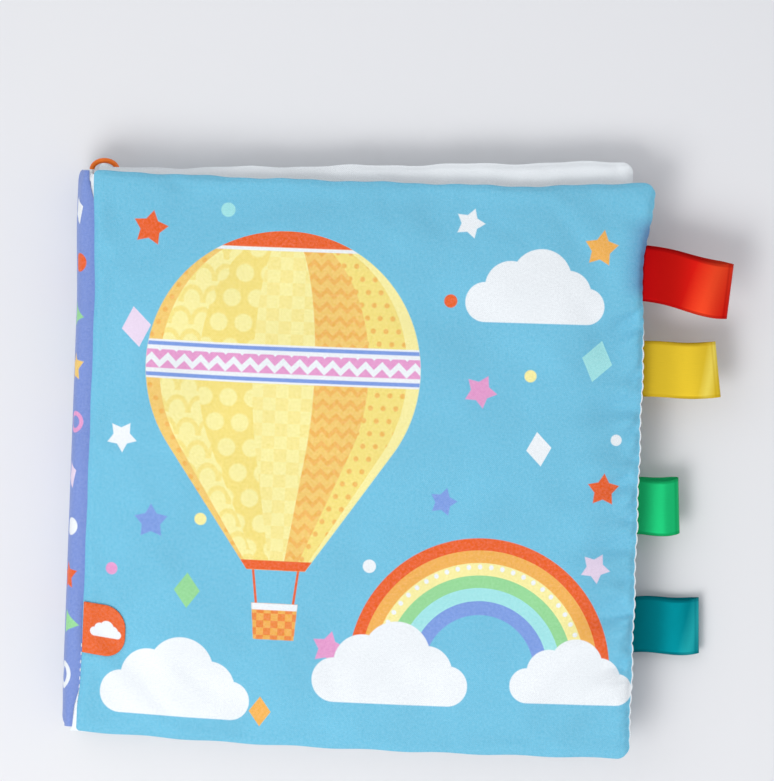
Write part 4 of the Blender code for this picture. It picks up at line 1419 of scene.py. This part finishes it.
def folded_path(length, fold_half, sag):
    """A ribbon seen from its edge: along the upper layer, round the fold and back along the lower one."""
    straight = length - fold_half
    out = np.linspace(0, 1, 26)
    half = ROOT_GAP + (fold_half - ROOT_GAP) * (0.25 * out + 0.75 * smooth_step((out - 0.42) / 0.5))
    arch = sag * np.sin(math.pi * out) + 0.0003 * np.sin(2.6 * math.pi * out)
    upper = np.stack([straight * out, half + arch], -1)
    lower = np.stack([straight * out, -half + arch], -1)[::-1]
    angles = np.linspace(math.pi / 2, -math.pi / 2, 11)[1:-1]
    fold = np.stack([straight + fold_half * np.cos(angles), fold_half * np.sin(angles) + arch[-1]], -1)
    return np.concatenate([upper, fold, lower])


def ribbon_loop(name, root, panel, centre, length, fold_half, slope, tip_tilt, tip_skew, sag, finish):
    slope, tip_tilt = math.radians(slope), math.radians(tip_tilt)
    path = folded_path(length, fold_half, sag)
    share = run_along(path) / run_along(path)[-1]
    skew = tip_skew * smooth_step((share - 0.40) / 0.2) * (1 - 0.75 * smooth_step((share - 0.55) / 0.45))
    sides = np.linspace(-0.5, 0.5, 15)
    tip = np.array([root, centre]) + length * np.array([math.cos(slope), math.sin(slope)])
    from_foot = panel.height / 2 - panel.rise - panel.lift
    sheets = []
    for face in (1, -1):
        section = path + side_of(path) * RIBBON_HALF_THICKNESS * face
        s, h = np.repeat(section[:, :1], len(sides), 1), np.repeat(section[:, 1:], len(sides), 1)
        w = np.repeat(sides[None, :], len(section), 0) * RIBBON_WIDTH
        h = h + CUPPED * np.cos(w / RIBBON_WIDTH * math.pi) * np.sin(s / length * math.pi)
        end_x = tip[0] - math.sin(tip_tilt) * w
        end_y = tip[1] + math.cos(slope) * w
        seam_x = panel.place(panel.width, end_y - math.sin(slope) * length + from_foot)[0] - SEWN_IN
        back = (end_x - seam_x) / math.cos(slope) * (1 - s / length)
        bow = 0.0005 * np.sin(s / length * 2 * math.pi)
        x = end_x - math.cos(slope) * back
        y = end_y - math.sin(slope) * back + skew[:, None] + bow
        sheets.append(np.stack([x, y, panel.z + h], -1))
    flat = np.stack(np.meshgrid(run_along(path), sides * RIBBON_WIDTH, indexing="ij"), -1)
    return sewn_mesh(name, *sheets, RIBBON_LIP, flat, (finish,) * 3)


# %% Sew the ribbons
# Each ribbon: the body and the panel that hold it, where, half the height of its fold, its slope and
# its tip's tilt in degrees, how far the tip's lower layer is shifted, and how far the loop arches
RIBBONS = (
    ("red", "front_cover", FRONT, RED_Y, 0.0012, -10.6, -5.2, 0.0012, 0.0006),
    ("yellow", "upper_leaf", UPPER, YELLOW_Y, 0.0011, 2.6, 7.5, 0.0003, 0.0005),
    ("green", "lower_leaf", LOWER, GREEN_Y, 0.0016, 2.2, 3.3, 0.0014, 0.0004),
    ("teal", "back_cover", BACK, TEAL_Y, 0.0013, 1.4, 2.1, 0.0009, 0.0004),
)
for colour, parent, panel, centre, *fold in RIBBONS:
    name, body, length = f"{colour}_ribbon", f"{colour}_loop", RIBBON_LENGTHS[colour]
    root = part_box(name)[0][0]
    loop = ribbon_loop(f"{name}_satin_loop", root, panel, centre, length, *fold, RIBBON_SATINS[colour])
    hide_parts(name)
    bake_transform(loop)
    2 * length
    print(loop.name, "root at", round(root, 4))

# %% [markdown]
# ## Side label
# A D-shaped tag of orange tape, caught in the spine seam and lying on the cover. The printed mark is
# a small plain cloud.

# %% Label
LABEL_LENGTH, LABEL_HEIGHT, LABEL_ROUND = 0.0162, 0.0182, 0.0075
LABEL_START, LABEL_THICKNESS, LABEL_LIP = 0.0009, 0.0005, 0.00012


def front_height(a, b):
    """How high the finished cloth of the front cover lies at any point."""
    across, along, (over, _) = FRONT_WRINKLES
    top = FRONT.top(a, b) - dented(a, b, front_dents) + between(across, along, over, a, b)
    return front_shape(FRONT, a, b, *FRONT.place(a, b), top)[2]


def side_label():
    share = np.sin(math.pi / 2 * np.linspace(0, 1, 22))
    lengthwise = LABEL_START + share * (LABEL_LENGTH - LABEL_START)
    a, v = np.meshgrid(lengthwise, np.linspace(0, 1, 19), indexing="ij")
    cut = np.maximum(LABEL_ROUND - (LABEL_LENGTH - a), 0.0)
    half = LABEL_HEIGHT / 2 - LABEL_ROUND + np.sqrt(np.maximum(LABEL_ROUND**2 - cut**2, 0.0))
    b = (2 * v - 1) * half
    across = a + 0.0004
    along = LABEL_Y + COVER_HEIGHT / 2 + b - 0.10 * (a - LABEL_LENGTH / 2)
    x, y = FRONT.place(across, along)
    lift = 0.0001 + 0.0002 * np.sin(a / LABEL_LENGTH * math.pi * 0.9) + 0.0001 * (b / LABEL_HEIGHT) ** 2
    low = front_height(across, along) + lift
    flat = np.stack([a - LABEL_LENGTH / 2, b], -1)
    sheets = (np.stack([x, y, z], -1) for z in (low + LABEL_THICKNESS, low))
    return sewn_mesh("side_label_tape", *sheets, LABEL_LIP, flat, (LABEL_TAPE,) * 3)


label = side_label()
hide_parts("side_label")
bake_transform(label)

# %% [markdown]
# ## Hanging loop
# A short orange cord, both ends sewn to the spine between the leaves. It is a tube swept along the
# same path as the frame's solid, slightly flattened.

# %% Sweep the cord
def swept_cord(name, path, half_stroke, half_depth, finish, sides=12):
    """A closed tube along a level path."""
    path = np.array(path)
    ahead = np.gradient(path, axis=0)
    ahead /= np.linalg.norm(ahead, axis=1)[:, None]
    side = np.stack([ahead[:, 1], -ahead[:, 0], np.zeros(len(path))], -1)
    side /= np.linalg.norm(side, axis=1)[:, None]
    turn = np.linspace(0, 2 * math.pi, sides, endpoint=False)
    points, spread = [], []
    for centre, across, distance in zip(path, side, run_along(path)):
        for angle in turn:
            up = np.array([0, 0, half_depth * math.sin(angle)])
            points.append(centre + across * half_stroke * math.cos(angle) + up)
            spread.append((distance, angle * half_depth))
    faces = []
    for i in range(0, (len(path) - 1) * sides, sides):
        for k in range(sides):
            m = (k + 1) % sides
            faces.append((i + k, i + m, i + sides + m, i + sides + k))
    last = (len(path) - 1) * sides
    faces += [tuple(range(sides)), tuple(range(last + sides - 1, last - 1, -1))]
    mesh = bpy.data.meshes.new(name)
    mesh.from_pydata([tuple(p) for p in points], [], faces)
    mesh.materials.append(finish)
    lay_flat(mesh, spread)
    mesh.shade_smooth()
    piece = add_object(name, mesh)
    fix_normals(piece)
    return piece


# %% Bend the hanging loop
# The loop's half-width and half-height, and the angle from its one end to where it straightens
LOOP_ACROSS, LOOP_UP, LOOP_ANGLE, LOOP_STEPS = 0.0046, 0.0034, math.radians(270), 48
loop_x, loop_y = HINGE_X + LOOP_ACROSS, SPINE_HALF_LENGTH + SPINE_RISE + 0.0003
loop_z = (LOWER_Z + UPPER_Z) / 2
loop_points = []
for n in range(LOOP_STEPS + 1):
    angle = math.pi - LOOP_ANGLE * n / LOOP_STEPS
    loop_points.append((loop_x + LOOP_ACROSS * math.cos(angle), loop_y + LOOP_UP * math.sin(angle), loop_z))
loop_points.append((SPINE_INNER_X + 0.0003, loop_y - LOOP_UP, loop_z))
hanging_loop = swept_cord("hanging_loop_cord", loop_points, 0.00092, 0.0011, LOOP_CORD)
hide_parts("hanging_loop")
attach(hanging_loop, "spine")
print("loop length:", round(sum(math.dist(p, q) for p, q in zip(loop_points, loop_points[1:])), 4))

# %% [markdown]
# ## Stitches
# Rows of machine stitches follow the seams. A stitch is a short thread that dips at both ends, so
# Geometry Nodes place one small stretched ball at every step of a curve, and each row becomes a plain
# mesh for the body that it is sewn to.

# %% Geometry Nodes for a stitch row
def stitch_tree():
    tree = bpy.data.node_groups.new("stitch_row", "GeometryNodeTree")
    tree.interface.new_socket("Geometry", in_out="INPUT", socket_type="NodeSocketGeometry")
    for label, value in (("Step", 0.003), ("Length", 0.0021), ("Thread", 0.00022)):
        slot = tree.interface.new_socket(label, in_out="INPUT", socket_type="NodeSocketFloat")
        slot.default_value = value
    tree.interface.new_socket("Finish", in_out="INPUT", socket_type="NodeSocketMaterial")
    tree.interface.new_socket("Geometry", in_out="OUTPUT", socket_type="NodeSocketGeometry")
    given = tree.nodes.new("NodeGroupInput").outputs
    curve = add_node(tree, "GeometryNodeMeshToCurve", {"Mesh": given["Geometry"]})
    steps = {"Curve": curve.outputs[0], "Length": given["Step"]}
    spaced = add_node(tree, "GeometryNodeResampleCurve", steps, mode="LENGTH")
    tangent = add_node(tree, "GeometryNodeInputTangent", {})
    turn = add_node(tree, "FunctionNodeAlignRotationToVector", {"Vector": tangent.outputs[0]}, axis="Y")
    ball = add_node(tree, "GeometryNodeMeshUVSphere", {"Segments": 6, "Rings": 5, "Radius": 0.5})
    sizes = {"X": given["Thread"], "Y": given["Length"], "Z": given["Thread"]}
    size = add_node(tree, "ShaderNodeCombineXYZ", sizes)
    balls = {"Points": spaced, "Instance": ball, "Rotation": turn, "Scale": size}
    balls = {label: node.outputs[0] for label, node in balls.items()}
    placed = add_node(tree, "GeometryNodeInstanceOnPoints", balls)
    real = add_node(tree, "GeometryNodeRealizeInstances", {"Geometry": placed.outputs[0]})
    smooth = add_node(tree, "GeometryNodeSetShadeSmooth", {"Geometry": real.outputs[0]})
    dye = {"Geometry": smooth.outputs[0], "Material": given["Finish"]}
    dyed = add_node(tree, "GeometryNodeSetMaterial", dye)
    feed(tree, tree.nodes.new("NodeGroupOutput").inputs[0], dyed.outputs[0])
    return tree


STITCH_ROW = stitch_tree()


# %% One row of stitches
def stitch_row(name, routes, step, length, thread, finish):
    """One mesh of stitches along some routes, each a list of points."""
    mesh = bpy.data.meshes.new(f"{name}_route")
    points, edges = [], []
    for route in routes:
        edges += [(len(points) + k, len(points) + k + 1) for k in range(len(route) - 1)]
        points += [tuple(p) for p in route]
    mesh.from_pydata(points, edges, [])
    carrier = add_object(f"{name}_carrier", mesh)
    modifier = carrier.modifiers.new("stitches", "NODES")
    modifier.node_group = STITCH_ROW
    slots = {item.name: item.identifier for item in STITCH_ROW.interface.items_tree if item.in_out == "INPUT"}
    for label, value in (("Step", step), ("Length", length), ("Thread", thread), ("Finish", finish)):
        modifier[slots[label]] = value
    bpy.context.view_layer.update()
    sewn = bpy.data.meshes.new_from_object(carrier.evaluated_get(bpy.context.evaluated_depsgraph_get()))
    sewn.name = name
    bpy.data.objects.remove(carrier, do_unlink=True)
    lay_flat(sewn, [point.co[:2] for point in sewn.vertices])
    print(name, len(sewn.polygons), "faces")
    return add_object(name, sewn)


# %% Seam stitches
# Step, length and thread of a row
COVER_STITCH, GUTTER_STITCH = (0.0027, 0.0017, 0.00042), (0.0032, 0.0021, 0.00028)
foot_y = [-0.070 - 0.001 * n for n in range(22)]
foot_route = [(float(cover_rim(y)) - 0.0002, y, FRONT_Z + 0.00035) for y in foot_y]
cover_stitches = stitch_row("cover_seam_stitches", [foot_route], *COVER_STITCH, THREAD)
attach(cover_stitches, "front_cover")
for name, panel in (("upper_leaf", UPPER), ("lower_leaf", LOWER)):
    along = np.linspace(0.008, panel.height - 0.008, 60)
    across = np.full_like(along, 0.0012)
    x, y = panel.place(across, along)
    routes = [np.stack([x, y, side(across, along)], -1).tolist() for side in (panel.top, panel.bottom)]
    row = stitch_row(f"{name}_gutter_stitches", routes, *GUTTER_STITCH, THREAD)
    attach(row, name)

# %% [markdown]
# ## Floor, light and camera
# The book is photographed straight from above on a pale sheet. A wide soft light stands towards the
# foot and the spine, so the faint shadow falls past the head. A wider one and the room fill the rest.

# %% Stage
def area_light(name, place, target, size, power, spread):
    """A square light over a place, turned to a target; its power is in watts and its spread in degrees."""
    data = bpy.data.lights.new(name, "AREA")
    data.size = size
    data.energy = power
    data.spread = math.radians(spread)
    lamp = add_object(name, data)
    lamp.location = place
    lamp.rotation_euler = (Vector(target) - Vector(place)).to_track_quat("-Z", "Y").to_euler()


def node_inputs(owner, node):
    owner.use_nodes = True
    return owner.node_tree.nodes[node].inputs


floor_mesh = bpy.data.meshes.new("floor")
floor_mesh.from_pydata([(-3, -3, 0), (3, -3, 0), (3, 3, 0), (-3, 3, 0)], [], [(0, 1, 2, 3)])
floor = add_object("floor", floor_mesh)
floor.location.z = -0.0002
floor_paint = bpy.data.materials.new("floor_paint")
paint = node_inputs(floor_paint, "Principled BSDF")
paint["Base Color"].default_value = (0.80, 0.80, 0.81, 1)
paint["Roughness"].default_value = 0.9
floor_mesh.materials.append(floor_paint)

area_light("key", (-0.50, -0.72, 1.35), (-0.06, -0.15, 0), 0.8, 2.0, 64)
area_light("fill", (-0.9, 0.4, 1.4), (0, 0, 0), 1.4, 4.0, 180)
world = bpy.data.worlds.new("room")
bpy.context.scene.world = world
room = node_inputs(world, "Background")
room["Color"].default_value = (0.93, 0.95, 1.0, 1)
room["Strength"].default_value = 0.61

# The view is so wide at the top of the book, in metres; the sensor's width is in millimetres
CAMERA_HEIGHT, BOOK_TOP, VIEW_WIDTH, SENSOR_WIDTH = 3.0, 0.029, 0.2810, 36.0
camera_data = bpy.data.cameras.new("camera")
camera = add_object("camera", camera_data)
camera.location = (0.00797, 0.0265, CAMERA_HEIGHT)
camera.rotation_euler = (0, 0, math.radians(2.1))
camera_data.sensor_fit = "HORIZONTAL"
camera_data.sensor_width = SENSOR_WIDTH
camera_data.lens = SENSOR_WIDTH * (CAMERA_HEIGHT - BOOK_TOP) / VIEW_WIDTH
camera_data.clip_start = 0.05
bpy.context.scene.camera = camera
bpy.context.scene.view_settings.view_transform = "Standard"
print("lens:", round(camera_data.lens, 1), "mm")
